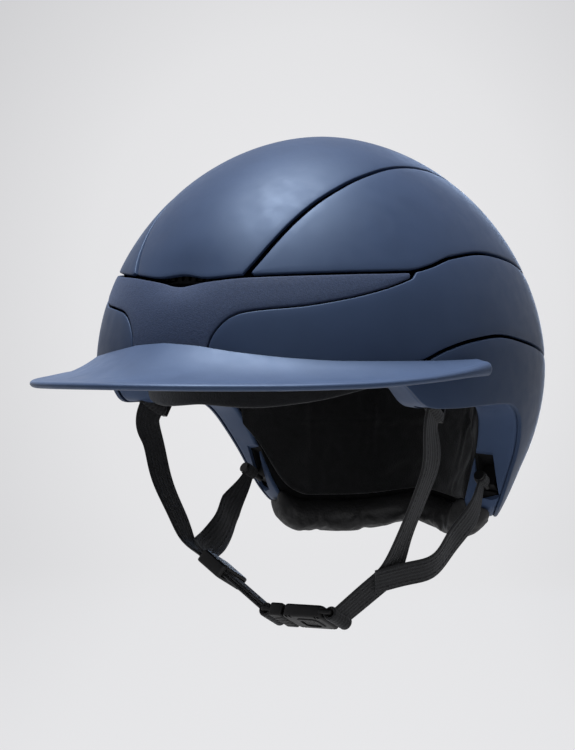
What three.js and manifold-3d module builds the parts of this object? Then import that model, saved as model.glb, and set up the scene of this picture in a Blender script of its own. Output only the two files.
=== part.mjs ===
// Equestrian riding helmet with a wide brim, a panelled outer shell, a foam liner, comfort pads and
// a four-point harness closed by a push-button buckle under the chin.
// Millimetres. +Z is up, the helmet faces -Y, and +X is the wearer's left.
// The origin is the centre of the crown pad's lower face, where the top of the head sits.
import * as THREE from "three";
import { mergeVertices } from "three/addons/utils/BufferGeometryUtils.js";
import Module from "manifold-3d";

const wasm = await Module();
wasm.setup();
const V = (x, y, z) => new THREE.Vector3(x, y, z);
const DEG = Math.PI / 180;

// ---- Driving dimensions -------------------------------------------------------------------------
const HALF_LENGTH = 130; // outer shell, front to back
const HALF_WIDTH = 108;
const HALF_HEIGHT = 120; // crown to widest level
const ROUNDNESS = 1.92; // exponent of the shell's vertical section, 2 is an ellipse
const NAPE_FULLNESS = 0.045; // share by which the low nape stands out from that section
const CLEARANCE = 0.3; // between pieces that seat on each other
const SHELL_CLEARANCE = 0.6; // between nested shells, whose facets differ
const PAD_CLEARANCE = 1.3; // between the foam and the pads stuck to it
const PANEL_WALL = 2.2; // outer panels
const BASE_WALL = 2.5; // inner hard shell that carries the panels
const FOAM_WALL = 19; // impact liner
const PAD_WALL = 6.5; // comfort pads on the sides
const CROWN_PAD_HEIGHT = 9.7;
const SEAM_GAP = 1.7; // dark grooves between panels
const WING_GAP = 0.9; // finer groove under the front band's wings
const RIM_WALL = 2.4; // edge trim
const BELT_WIDTH = 16; // harness webbing
const BELT_THICKNESS = 1.6;
const ANCHOR_BAR_RADIUS = 1.5;
const BRIM_REACH_FRONT = 55;
const BRIM_REACH_END = 9;
const BRIM_END_ANGLE = 84.2; // from the front, each side
const VENT_HEIGHT = 3.6; // extra opening of the front seam at the air intake
const VENT_HALF_ANGLE = 8.5;
const BUCKLE_RAIL = 0.6; // beside the webbing, in the frames that hold it
const BUCKLE_PLAY = 0.9; // between the webbing's edges and those rails
const BUCKLE_WIDTH = BELT_WIDTH + 2 * (BUCKLE_RAIL + BUCKLE_PLAY);
const BUCKLE_HEIGHT = 7;
const BUCKLE_LENGTH = 25; // housing
const TONGUE_REACH = 14; // of the tongue inside the housing

// ---- Layers through the wall, as depths below the outer surface --------------------------------
const BASE_TOP = PANEL_WALL + SHELL_CLEARANCE;
const BASE_BOTTOM = BASE_TOP + BASE_WALL;
const FOAM_TOP = BASE_BOTTOM + SHELL_CLEARANCE;
const FOAM_BOTTOM = FOAM_TOP + FOAM_WALL;
const PAD_TOP = FOAM_BOTTOM + PAD_CLEARANCE;
const CENTRE_Z = -(HALF_HEIGHT - FOAM_BOTTOM - CROWN_PAD_HEIGHT);
const CENTRE = V(0, 0, CENTRE_Z);

// ---- Shell surface -------------------------------------------------------------------------------
// Below the widest level the inner layers keep the outer surface's height, so the wall stays even.
const verticalRadius = (above, depth) => (above ? HALF_HEIGHT - depth : HALF_HEIGHT);

// Point at an angle from the front (degrees, + to the wearer's left), a height and a depth.
function onShell(angle, z, depth) {
  const share = Math.abs(z - CENTRE_Z) / verticalRadius(z > CENTRE_Z, depth);
  const nape = z < CENTRE_Z ? NAPE_FULLNESS * Math.pow(Math.max(0, share - 0.42) / 0.24, 1.5) : 0;
  const ring = Math.pow(Math.max(0, 1 - Math.pow(share, ROUNDNESS)), 1 / ROUNDNESS) + nape;
  const a = angle * DEG;
  return V((HALF_WIDTH - depth) * ring * Math.sin(a), -(HALF_LENGTH - depth) * ring * Math.cos(a), z);
}

// Moves a point straight away from or towards the shell's centre, onto the layer at a depth.
function toShell(point, depth) {
  const d = point.clone().sub(CENTRE);
  const flat = Math.hypot(d.x / (HALF_WIDTH - depth), d.y / (HALF_LENGTH - depth));
  const up = Math.abs(d.z) / verticalRadius(d.z > 0, depth);
  const size = Math.pow(Math.pow(flat, ROUNDNESS) + Math.pow(up, ROUNDNESS), 1 / ROUNDNESS);
  return d.divideScalar(size).add(CENTRE);
}

function outward(point) {
  const d = point.clone().sub(CENTRE);
  const flat = Math.hypot(d.x / HALF_WIDTH, d.y / HALF_LENGTH);
  const side = Math.pow(flat, ROUNDNESS - 2);
  const up = Math.abs(d.z) / HALF_HEIGHT;
  const rise = (Math.sign(d.z) * Math.pow(up, ROUNDNESS - 1)) / HALF_HEIGHT;
  return V((side * d.x) / HALF_WIDTH ** 2, (side * d.y) / HALF_LENGTH ** 2, rise).normalize();
}

// Smooth line through [x, y] points that never overshoots them.
function smoothLine(points) {
  const n = points.length;
  const slope = points.slice(1).map((p, i) => (p[1] - points[i][1]) / (p[0] - points[i][0]));
  const tangent = points.map((_, i) => {
    if (i === 0 || i === n - 1) return slope[Math.min(i, n - 2)];
    const [s, t] = [slope[i - 1], slope[i]];
    return s * t <= 0 ? 0 : (2 * s * t) / (s + t);
  });
  return (x) => {
    if (x <= points[0][0]) return points[0][1];
    if (x >= points[n - 1][0]) return points[n - 1][1];
    const i = points.findIndex((p) => p[0] > x) - 1;
    const h = points[i + 1][0] - points[i][0];
    const t = (x - points[i][0]) / h;
    const [t2, t3] = [t * t, t * t * t];
    return (
      (2 * t3 - 3 * t2 + 1) * points[i][1] +
      (t3 - 2 * t2 + t) * h * tangent[i] +
      (3 * t2 - 2 * t3) * points[i + 1][1] +
      (t3 - t2) * h * tangent[i + 1]
    );
  };
}

// Heights of the lines that run round the shell, as [angle from the front, height above the widest level].
const fromCentre = (pairs) => smoothLine(pairs.map(([a, h]) => [a, h + CENTRE_Z]));
const mirrored = (line) => (angle) => line(Math.abs(angle > 180 ? angle - 360 : angle));

// Upper edge of the front band, rising over the ear and falling to the back.
const beltSeam = mirrored(
  fromCentre([[0, 45.8], [9, 45.9], [22, 47.4], [50, 49], [67, 49.8], [73, 52], [82, 56.8], [95, 59.1],
    [110, 56.2], [129, 48.3], [150, 38], [166, 31], [180, 28]]),
);
// Lower edge of the front band: a short stem over the brim, then a long tapering wing.
const wingSeam = mirrored(
  fromCentre([[0, 2], [12.5, 2], [14, 9.5], [15, 15], [16.6, 20], [18.6, 23.4], [21.5, 25.6], [27, 27.4],
    [36.5, 28.9], [49, 32.8], [58.4, 38.2], [65.9, 44.2], [70, 49]]),
);
const WING_TIP_ANGLE = 67.5;
// Upper edge of the lower shell: hidden by the brim in front, a wave over the ear, low at the back.
const lowerSeam = mirrored(
  fromCentre([[0, 0], [56, 0], [64, 2.4], [68, 5.1], [74, 10.4], [83.5, 15.2], [93, 17.1], [106, 13.8],
    [129, 5.4], [152, -4], [180, -9]]),
);
// Rim of the whole shell: level in front, a temple lobe, the ear cut-out and the deep nape.
const rimLine = mirrored(
  fromCentre([[0, -8.5], [30, -8.5], [45, -7.2], [55, -5.6], [60, -5], [63, -6.8], [65, -11], [67.5, -15.2],
    [70.5, -17.6], [74, -18.2], [80, -17], [91, -15], [97, -15.5], [101, -18], [104.5, -22.5],
    [108.3, -33], [111.5, -46], [114, -58], [116.5, -67], [120, -73.5], [127, -77.5], [145, -77.5], [180, -73]]),
);
// Height where the brim's upper face leaves the shell.
const brimRoot = mirrored(
  fromCentre([[0, 14], [10.8, 12.6], [15, 11.3], [24, 9], [37, 6.5], [48, 5.4], [70, 5.2], [84, 5.8]]),
);

// How much taller a strip along a line is, measured upright, than it is wide across the line.
function steepness(line, angle) {
  const step = 0.25;
  const a = onShell(angle - step, line(angle - step), 0);
  const b = onShell(angle + step, line(angle + step), 0);
  const run = Math.hypot(b.x - a.x, b.y - a.y);
  return Math.min(3, Math.hypot(1, (b.z - a.z) / run));
}
const above = (line, gap = SEAM_GAP) => (angle) => line(angle) + (gap / 2) * steepness(line, angle);
const below = (line, gap = SEAM_GAP) => (angle) => line(angle) - (gap / 2) * steepness(line, angle);
const ventBulge = (angle) => (VENT_HEIGHT / 2) * Math.exp(-((angle / VENT_HALF_ANGLE) ** 2));

// Crown seam, the edge between the centre panel and a side panel, as [y, x].
const crownSeamX = smoothLine([[-112, 34.5], [-102.5, 39.6], [-89.5, 43.9], [-70.5, 48.1], [-49.8, 51.3],
  [-26, 52.8], [-4, 52.5], [19, 51.6], [39, 49.9], [58, 47.5], [78, 44], [97, 38.5], [111, 33], [118, 30]]);
const CROWN_FRONT_ANGLE = 20.6; // where the crown seam meets the belt seam
const CROWN_BACK_ANGLE = 162.5;

// ---- Mesh builders --------------------------------------------------------------------------------
function geometryOf(points, triangles) {
  const flat = new Float32Array(points.flatMap((p) => [p.x, p.y, p.z]));
  let volume = 0;
  for (const [a, b, c] of triangles) {
    volume += points[a].dot(points[b].clone().cross(points[c]));
  }
  const index = triangles.flatMap(([a, b, c]) => (volume < 0 ? [a, c, b] : [a, b, c]));
  return new THREE.BufferGeometry()
    .setAttribute("position", new THREE.BufferAttribute(flat, 3))
    .setIndex(index);
}

// Angles of a number of columns round the shell, closer together where the rim is steep.
function rimAngles(count) {
  const step = 0.5;
  const travelled = [0];
  for (let angle = 0; angle < 360; angle += step) {
    const [a, b] = [onShell(angle, rimLine(angle), 0), onShell(angle + step, rimLine(angle + step), 0)];
    travelled.push(travelled.at(-1) + Math.hypot(a.x - b.x, a.y - b.y, 1.6 * (a.z - b.z)));
  }
  return Array.from({ length: count }, (_, i) => {
    const wanted = (travelled.at(-1) * i) / count;
    const k = travelled.findIndex((d) => d > wanted) - 1;
    return step * (k + (wanted - travelled[k]) / (travelled[k + 1] - travelled[k]));
  });
}

// Closed solid through cross-sections, which all have the same number of points.
// A loop joins its last section to its first, and anything else is capped.
function loft(sections, loop = false) {
  const [n, m] = [sections.length, sections[0].length];
  const at = (i, j) => (i % n) * m + (j % m);
  const triangles = [];
  for (let i = 0; i < (loop ? n : n - 1); i++) {
    for (let j = 0; j < m; j++) {
      triangles.push([at(i, j), at(i + 1, j), at(i + 1, j + 1)]);
      triangles.push([at(i, j), at(i + 1, j + 1), at(i, j + 1)]);
    }
  }
  const points = sections.flat();
  if (!loop) {
    for (const [row, order] of [[0, 1], [n - 1, -1]]) {
      const middle = sections[row].reduce((s, p) => s.add(p), V(0, 0, 0)).divideScalar(m);
      points.push(middle);
      for (let j = 0; j < m; j++) {
        const pair = [at(row, j), at(row, j + 1)];
        triangles.push([points.length - 1, ...(order > 0 ? pair : pair.reverse())]);
      }
    }
  }
  return geometryOf(points, triangles);
}

// Solid between an outer and an inner grid. point(u, v, depthShare) has u and v from 0 to 1.
function slab(columns, rows, point) {
  const outer = (i, j) => i * (rows + 1) + j;
  const count = (columns + 1) * (rows + 1);
  const inner = (i, j) => outer(i, j) + count;
  const points = [];
  for (const side of [0, 1]) {
    for (let i = 0; i <= columns; i++) {
      for (let j = 0; j <= rows; j++) points.push(point(i / columns, j / rows, side));
    }
  }
  const triangles = [];
  const quad = (a, b, c, d) => triangles.push([a, b, c], [a, c, d]);
  for (let i = 0; i < columns; i++) {
    for (let j = 0; j < rows; j++) {
      quad(outer(i, j), outer(i + 1, j), outer(i + 1, j + 1), outer(i, j + 1));
      quad(inner(i, j), inner(i, j + 1), inner(i + 1, j + 1), inner(i + 1, j));
    }
    quad(outer(i, 0), inner(i, 0), inner(i + 1, 0), outer(i + 1, 0));
    quad(outer(i + 1, rows), inner(i + 1, rows), inner(i, rows), outer(i, rows));
  }
  for (let j = 0; j < rows; j++) {
    quad(outer(0, j + 1), inner(0, j + 1), inner(0, j), outer(0, j));
    quad(outer(columns, j), inner(columns, j), inner(columns, j + 1), outer(columns, j + 1));
  }
  return geometryOf(points, triangles);
}

// Dome from the top of the shell down to a bottom line, between two depths.
function dome(angles, rows, topDepth, bottomDepth, bottomLine) {
  const columns = angles.length;
  const points = [];
  const triangles = [];
  const poles = [topDepth, bottomDepth].map((depth) => {
    points.push(toShell(V(0, 0, CENTRE_Z + HALF_HEIGHT), depth));
    return points.length - 1;
  });
  const grids = [topDepth, bottomDepth].map((depth) => {
    const first = points.length;
    for (const angle of angles) {
      const end = bottomLine(angle);
      for (let j = 1; j <= rows; j++) points.push(domePoint(angle, end, j / rows, depth));
    }
    return (c, r) => first + (c % columns) * rows + r - 1;
  });
  for (let c = 0; c < columns; c++) {
    grids.forEach((g, side) => {
      const turn = (t) => triangles.push(side ? [t[0], t[2], t[1]] : t);
      turn([poles[side], g(c, 1), g(c + 1, 1)]);
      for (let r = 1; r < rows; r++) {
        turn([g(c, r), g(c, r + 1), g(c + 1, r + 1)]);
        turn([g(c, r), g(c + 1, r + 1), g(c + 1, r)]);
      }
    });
    const [o, n] = grids;
    triangles.push([o(c, rows), n(c, rows), n(c + 1, rows)], [o(c, rows), n(c + 1, rows), o(c + 1, rows)]);
  }
  return geometryOf(points, triangles);
}

// Point a share of the way from the top to a height, measured by angle round the vertical section.
function domePoint(angle, endZ, share, depth) {
  const radius = verticalRadius(endZ > CENTRE_Z, depth);
  const end = (endZ - CENTRE_Z) / radius;
  const endPolar = Math.acos(Math.sign(end) * Math.pow(Math.abs(end), ROUNDNESS / 2));
  const c = Math.cos(endPolar * share);
  const height = Math.sign(c) * Math.pow(Math.abs(c), 2 / ROUNDNESS);
  return onShell(angle, CENTRE_Z + height * verticalRadius(c > 0, depth), depth);
}

// Webbing through stops, each with a point and a width direction. It can start folded narrow.
function webbing(stops, steps, startWidth = BELT_WIDTH) {
  const path = new THREE.CatmullRomCurve3(stops.map((s) => s.point), false, "centripetal");
  const sides = new THREE.CatmullRomCurve3(stops.map((s) => s.width), false, "centripetal");
  const sections = [];
  for (let i = 0; i <= steps; i++) {
    const t = i / steps;
    const [p, forward] = [path.getPoint(t), path.getTangent(t)];
    const side = sides.getPoint(t);
    side.addScaledVector(forward, -side.dot(forward)).normalize();
    const face = side.clone().cross(forward).multiplyScalar(BELT_THICKNESS / 2);
    side.multiplyScalar((startWidth + (BELT_WIDTH - startWidth) * Math.min(1, t * 5)) / 2);
    sections.push([[1, 1], [-1, 1], [-1, -1], [1, -1]].map(([s, f]) =>
      p.clone().addScaledVector(side, s).addScaledVector(face, f)));
  }
  return loft(sections);
}

// A box, or any geometry, placed by a frame of three directions and a centre.
function placed(geometry, centre, x, y, z) {
  return geometry.applyMatrix4(new THREE.Matrix4().makeBasis(x, y, z).setPosition(centre));
}
function frameFrom(z, hint) {
  const x = hint.clone().addScaledVector(z, -hint.dot(z)).normalize();
  return [x, z.clone().cross(x), z];
}
function rod(from, to, radius, sides = 12) {
  const axis = to.clone().sub(from);
  const middle = from.clone().add(to).multiplyScalar(0.5);
  const made = new THREE.CylinderGeometry(radius, radius, axis.length(), sides);
  const turn = new THREE.Quaternion().setFromUnitVectors(V(0, 1, 0), axis.normalize());
  return made.applyQuaternion(turn).translate(middle.x, middle.y, middle.z);
}
function roundedPlate(length, width, corner, height) {
  const [l, w] = [length / 2, width / 2];
  const s = new THREE.Shape();
  s.moveTo(-l + corner, -w).lineTo(l - corner, -w).absarc(l - corner, -w + corner, corner, -Math.PI / 2, 0);
  s.lineTo(l, w - corner).absarc(l - corner, w - corner, corner, 0, Math.PI / 2);
  s.lineTo(-l + corner, w).absarc(-l + corner, w - corner, corner, Math.PI / 2, Math.PI);
  s.lineTo(-l, -w + corner).absarc(-l + corner, -w + corner, corner, Math.PI, 1.5 * Math.PI);
  const made = new THREE.ExtrudeGeometry(s, { depth: height, bevelEnabled: false, curveSegments: 3 });
  return made.translate(0, 0, -height / 2);
}

// ---- Booleans ---------------------------------------------------------------------------------------
function solid(geometry) {
  const bare = geometry.clone();
  bare.deleteAttribute("normal");
  bare.deleteAttribute("uv");
  const g = mergeVertices(bare, 1e-4);
  return new wasm.Manifold(new wasm.Mesh({
    numProp: 3,
    vertProperties: new Float32Array(g.attributes.position.array),
    triVerts: new Uint32Array(g.index.array),
  }));
}
function geometryFrom(made) {
  const mesh = made.getMesh();
  return new THREE.BufferGeometry()
    .setAttribute("position", new THREE.BufferAttribute(new Float32Array(mesh.vertProperties), 3))
    .setIndex(new THREE.BufferAttribute(mesh.triVerts, 1));
}
const cut = (body, ...tools) => geometryFrom(tools.reduce((s, t) => s.subtract(solid(t)), solid(body)));
const join = (body, ...more) => geometryFrom(more.reduce((s, t) => s.add(solid(t)), solid(body)));

// ---- Materials ----------------------------------------------------------------------------------------
const paint = new THREE.MeshStandardMaterial({ color: 0x2b3d63, roughness: 0.55, metalness: 0 });
const brimPaint = new THREE.MeshStandardMaterial({ color: 0x3b5080, roughness: 0.5, metalness: 0 });
const texturedSkin = new THREE.MeshStandardMaterial({ color: 0x26375a, roughness: 0.8, metalness: 0 });
const trimPaint = new THREE.MeshStandardMaterial({ color: 0x35496f, roughness: 0.5, metalness: 0 });
const shellPlastic = new THREE.MeshStandardMaterial({ color: 0x0c0e12, roughness: 0.7, metalness: 0 });
const foam = new THREE.MeshStandardMaterial({ color: 0x111214, roughness: 0.95, metalness: 0 });
const padFabric = new THREE.MeshStandardMaterial({ color: 0x0e0e10, roughness: 0.95, metalness: 0 });
const beltFabric = new THREE.MeshStandardMaterial({ color: 0x141415, roughness: 0.9, metalness: 0 });
const blackPlastic = new THREE.MeshStandardMaterial({ color: 0x121213, roughness: 0.45, metalness: 0 });
const steel = new THREE.MeshStandardMaterial({ color: 0x9a9da3, roughness: 0.35, metalness: 1 });

const helmet = new THREE.Group();
function add(name, geometry, material) {
  const mesh = new THREE.Mesh(geometry, material);
  mesh.name = name;
  helmet.add(mesh);
}
const SIDES = [["left", 1], ["right", -1]];

// ---- Outer panels ---------------------------------------------------------------------------------------
const panelDepth = (side) => side * PANEL_WALL;

// Panel between two height lines, from one angle to another.
function bandPanel(from, to, columns, rows, topLine, bottomLine) {
  return slab(columns, rows, (u, v, side) => {
    const angle = from + (to - from) * u;
    const [top, bottom] = [topLine(angle), bottomLine(angle)];
    return onShell(angle, top + (bottom - top) * v, panelDepth(side));
  });
}

const crownSeamPoint = (y) => toShell(V(crownSeamX(y), y, crownSeamHeight(y)), 0);
function crownSeamHeight(y) {
  const flat = Math.hypot(crownSeamX(y) / HALF_WIDTH, y / HALF_LENGTH);
  return CENTRE_Z + HALF_HEIGHT * Math.pow(Math.max(0, 1 - Math.pow(flat, ROUNDNESS)), 1 / ROUNDNESS);
}
// The crown seam in the shell's proportions, so that it follows a change of length or width.
const SEAM_FRONT_Y = onShell(CROWN_FRONT_ANGLE, beltSeam(CROWN_FRONT_ANGLE), 0).y;
const SEAM_BACK_Y = onShell(CROWN_BACK_ANGLE, beltSeam(CROWN_BACK_ANGLE), 0).y;
function crownSeam(share) {
  const turn = (1 - Math.cos(Math.PI * share)) / 2;
  const y = SEAM_FRONT_Y + (SEAM_BACK_Y - SEAM_FRONT_Y) * (0.35 * share + 0.65 * turn);
  return crownSeamPoint(y);
}

// Moves along the surface from one seam towards the opposite one, to clear half a gap.
function between(a, b, share) {
  const length = a.distanceTo(b);
  const inset = Math.min(0.45, (SEAM_GAP * 0.54) / length);
  return a.clone().lerp(b, inset + (1 - 2 * inset) * share);
}

function crownPanel() {
  const flip = (p) => V(-p.x, p.y, p.z);
  const edge = (line, angle, turn) => onShell(turn ? 180 - angle : angle, line(turn ? 180 - angle : angle), 0);
  const frontLine = (angle) => above(beltSeam)(angle) + ventBulge(angle);
  const front = (v) => edge(frontLine, (CROWN_FRONT_ANGLE - 0.5) * (1 - 2 * v), false);
  const backHalf = 180 - CROWN_BACK_ANGLE - 0.5;
  const back = (v) => edge(above(beltSeam), backHalf * (1 - 2 * v), true);
  return slab(22, 8, (u, v, side) => {
    const seam = crownSeam(u);
    const row = between(seam, flip(seam), v);
    const [first, last] = [crownSeam(0), crownSeam(1)];
    const startError = front(v).sub(between(first, flip(first), v));
    const endError = back(v).sub(between(last, flip(last), v));
    row.addScaledVector(startError, Math.pow(1 - u, 2)).addScaledVector(endError, Math.pow(u, 2));
    return toShell(row, panelDepth(side));
  });
}

function upperPanel(mirror) {
  return slab(26, 6, (u, v, side) => {
    const share = 0.025 + 0.955 * u;
    const seam = crownSeam(share);
    const angle = CROWN_FRONT_ANGLE + (CROWN_BACK_ANGLE - CROWN_FRONT_ANGLE) * share;
    const low = onShell(angle, beltSeam(angle), 0);
    const p = toShell(between(seam, low, v), panelDepth(side));
    return V(mirror * p.x, p.y, p.z);
  });
}

function lowerPanel(mirror) {
  const start = 15.6;
  const end = 180 - 0.4;
  const bottom = (angle) => above(lowerSeam)(angle);
  const top = (angle) => (angle < WING_TIP_ANGLE ? below(wingSeam, WING_GAP)(angle) : below(beltSeam)(angle));
  return slab(34, 4, (u, v, side) => {
    const angle = start + (end - start) * Math.pow(u, 1.25);
    const [t, b] = [top(angle), bottom(angle)];
    return onShell(mirror * angle, t + (b - t) * v, panelDepth(side));
  });
}

function frontBand() {
  const top = (angle) => below(beltSeam)(angle) - ventBulge(angle);
  const bottom = (angle) => Math.min(above(wingSeam, WING_GAP)(angle), top(angle) - 0.8);
  return slab(46, 3, (u, v, side) => {
    const spread = 2 * u - 1;
    const angle = WING_TIP_ANGLE * 0.975 * Math.sign(spread) * Math.pow(Math.abs(spread), 1.15);
    const [t, b] = [top(angle), bottom(angle)];
    return onShell(angle, t + (b - t) * v, panelDepth(side));
  });
}

// A ring between two height lines.
function ringPanel(angles, rows, topLine, bottomLine, topDepth, bottomDepth) {
  const sections = [];
  for (const angle of angles) {
    const [t, b] = [topLine(angle), bottomLine(angle)];
    const column = [];
    for (let j = 0; j <= rows; j++) column.push(onShell(angle, t + ((b - t) * j) / rows, topDepth));
    for (let j = rows; j >= 0; j--) column.push(onShell(angle, t + ((b - t) * j) / rows, bottomDepth));
    sections.push(column);
  }
  return loft(sections, true);
}

// ---- Harness anchors and hinge lines ----------------------------------------------------------------
const FRONT_ANCHOR = { name: "front", angle: 75.5, depth: FOAM_BOTTOM - 12.4, drop: 1.8 };
const REAR_ANCHOR = { name: "rear", angle: 113.8, depth: FOAM_BOTTOM - 12.2, ahead: 6 };
const REAR_SLEEVE = 7; // width of the rear straps where they are folded round their pins
const KINDS = [FRONT_ANCHOR, REAR_ANCHOR];
const hinge = (mirror) => {
  const front = onShell(mirror * FRONT_ANCHOR.angle, rimLine(FRONT_ANCHOR.angle) - FRONT_ANCHOR.drop,
    FRONT_ANCHOR.depth);
  const rear = onShell(mirror * REAR_ANCHOR.angle, rimLine(REAR_ANCHOR.angle), REAR_ANCHOR.depth);
  rear.y -= REAR_ANCHOR.ahead;
  const axis = rear.clone().sub(front).normalize();
  return { front, rear, axis, up: V(0, 0, 1).addScaledVector(axis, -axis.z).normalize() };
};
const LOOP_INNER = ANCHOR_BAR_RADIUS + CLEARANCE;
const LOOP_OUTER = LOOP_INNER + BELT_THICKNESS;
const SLOT_WIDTH = 2 * LOOP_OUTER + 3.6;
const BLOCK_WIDTH = 7; // through the wall
const FRONT_BLOCK = { length: BELT_WIDTH + 6, height: 12, lift: 9.5 }; // above the bar
const REAR_BLOCK = { length: 8, height: 11, lift: 6.5, back: REAR_SLEEVE / 2 + 4.5 }; // behind the sleeve
const CHEEK_WALL = 1.8;
const CHEEK_PLACE = BELT_WIDTH / 2 + 1.6;
const RIVET_RADIUS = 1.8;
const RIVET_HEAD = 2.8;
const box = (x, y, z) => new THREE.BoxGeometry(x, y, z);

// A geometry put at an anchor: x along the hinge line, y through the wall, z up from the bar.
function atAnchor(geometry, kind, mirror) {
  const line = hinge(mirror);
  return placed(geometry, line[kind.name], line.axis, line.up.clone().cross(line.axis), line.up);
}
const frontBlock = (grow) =>
  box(FRONT_BLOCK.length + grow, BLOCK_WIDTH + grow, FRONT_BLOCK.height + grow)
    .translate(0, 0, FRONT_BLOCK.lift + FRONT_BLOCK.height / 2);
const rearBlock = (grow) =>
  box(REAR_BLOCK.length + grow, BLOCK_WIDTH + grow, REAR_BLOCK.height + grow)
    .translate(REAR_BLOCK.back + REAR_BLOCK.length / 2, 0, REAR_BLOCK.lift);
const along = (radius, from, to) =>
  new THREE.CylinderGeometry(radius, radius, to - from, 12).rotateZ(Math.PI / 2).translate((from + to) / 2, 0, 0);

// Front: a bar between two cheeks, for a strap that swings outwards.
function frontAnchor() {
  const cheekHeight = FRONT_BLOCK.lift + 3.5;
  const cheeks = [-1, 1].map((end) => box(CHEEK_WALL, 2.4 * ANCHOR_BAR_RADIUS, cheekHeight)
    .translate(end * CHEEK_PLACE, 0, cheekHeight / 2 - 1.8));
  return join(frontBlock(0), along(ANCHOR_BAR_RADIUS, -CHEEK_PLACE, CHEEK_PLACE), ...cheeks);
}
// Rear: a headed pin that stands out of the rim, in the same hinge line.
function rearAnchor() {
  const sleeveEnd = -REAR_SLEEVE / 2 - CLEARANCE;
  return join(
    rearBlock(0),
    along(ANCHOR_BAR_RADIUS, sleeveEnd - 1, REAR_BLOCK.back + 1),
    along(ANCHOR_BAR_RADIUS + 1.3, sleeveEnd - 1.2, sleeveEnd),
  );
}

// Countersunk rivet that pulls an anchor to the inner shell.
function rivetRod(kind, mirror, inner, outer, radius) {
  const middle = kind === FRONT_ANCHOR ? frontBlock(0) : rearBlock(0);
  const centre = new THREE.Box3().setFromBufferAttribute(
    atAnchor(middle, kind, mirror).attributes.position).getCenter(V(0, 0, 0));
  const angle = Math.atan2(centre.x / (HALF_WIDTH - kind.depth), -centre.y / (HALF_LENGTH - kind.depth)) / DEG;
  return rod(onShell(angle, centre.z, inner), onShell(angle, centre.z, outer), radius);
}
const rivetTip = (kind) => kind.depth + 1;
const RIVET_SINK = 1; // of its head below the inner shell's outer face
const HEAD_HEIGHT = 1;
const rivet = (kind, mirror) => join(
  rivetRod(kind, mirror, rivetTip(kind), BASE_TOP + RIVET_SINK, RIVET_RADIUS),
  rivetRod(kind, mirror, BASE_TOP + RIVET_SINK + HEAD_HEIGHT, BASE_TOP + RIVET_SINK, RIVET_HEAD),
);
const rivetHole = (kind, mirror) => rivetRod(kind, mirror, rivetTip(kind) + 9, -6, RIVET_RADIUS + CLEARANCE);
const rivetRecess = (kind, mirror) =>
  rivetRod(kind, mirror, BASE_TOP + RIVET_SINK + HEAD_HEIGHT + CLEARANCE, -6, RIVET_HEAD + CLEARANCE);
const anchor = (kind, mirror) => cut(
  atAnchor(kind === FRONT_ANCHOR ? frontAnchor() : rearAnchor(), kind, mirror),
  rivetHole(kind, mirror),
);

// The room that an anchor needs in the foam, open towards its strap.
const anchorPocket = (kind, mirror) => atAnchor(
  kind === FRONT_ANCHOR
    ? box(FRONT_BLOCK.length + 2, BLOCK_WIDTH + 1, 40).translate(0, 0, FRONT_BLOCK.lift + FRONT_BLOCK.height - 19)
    : box(40, BLOCK_WIDTH + 1, REAR_BLOCK.height + 2)
      .translate(REAR_BLOCK.back + REAR_BLOCK.length - 19, 0, REAR_BLOCK.lift),
  kind,
  mirror,
);
const rimSlot = (kind, mirror) => atAnchor(
  kind === FRONT_ANCHOR
    ? box(FRONT_BLOCK.length + 1, SLOT_WIDTH, 44)
    : box(32, SLOT_WIDTH, REAR_BLOCK.height + 6).translate(0, 0, REAR_BLOCK.lift - 2),
  kind,
  mirror,
);
const eachAnchor = (make) => SIDES.flatMap(([, mirror]) => KINDS.map((kind) => make(kind, mirror)));

// ---- Air intake ---------------------------------------------------------------------------------------------
const VENT_WIDTH = 34;
const GRILLE_PITCH = 4.4;
const ventCentre = (depth) => onShell(0, beltSeam(0), depth);
function ventDuct(height, from, to) {
  const [a, b] = [ventCentre(from), ventCentre(to)];
  const length = a.distanceTo(b);
  const [x, y, z] = frameFrom(b.clone().sub(a).normalize(), V(1, 0, 0));
  return placed(box(VENT_WIDTH, height, length), a.add(b).multiplyScalar(0.5), x, y, z);
}
function ventGrille() {
  const from = BASE_TOP + 2.7;
  const plate = solid(ventDuct(VENT_HEIGHT + 0.8, from, from + 1.2));
  const scale = (VENT_WIDTH - 2 * CLEARANCE) / VENT_WIDTH;
  let made = plate.scale([scale, 1, 1]);
  for (let slot = -3; slot <= 3; slot++) {
    const middle = ventCentre(from);
    made = made.subtract(solid(box(3, 30, 2.4).translate(slot * GRILLE_PITCH, middle.y, middle.z)));
  }
  return geometryFrom(made);
}

// ---- Shell pieces ---------------------------------------------------------------------------------------------
const rimLift = (extra) => (angle) => rimLine(angle) + (RIM_WALL + extra) * steepness(rimLine, angle);
const EDGE_CLEARANCE = 0.8;
const COLUMNS = rimAngles(64);
const DOME_ROWS = 10;

add("crown_panel", crownPanel(), paint);
for (const [side, mirror] of SIDES) {
  add(`upper_panel_${side}`, upperPanel(mirror), paint);
  add(`lower_panel_${side}`, lowerPanel(mirror), paint);
}
add("front_band", frontBand(), texturedSkin);
add("lower_shell", ringPanel(COLUMNS, 6, below(lowerSeam), rimLine, 0, PANEL_WALL), paint);

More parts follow.
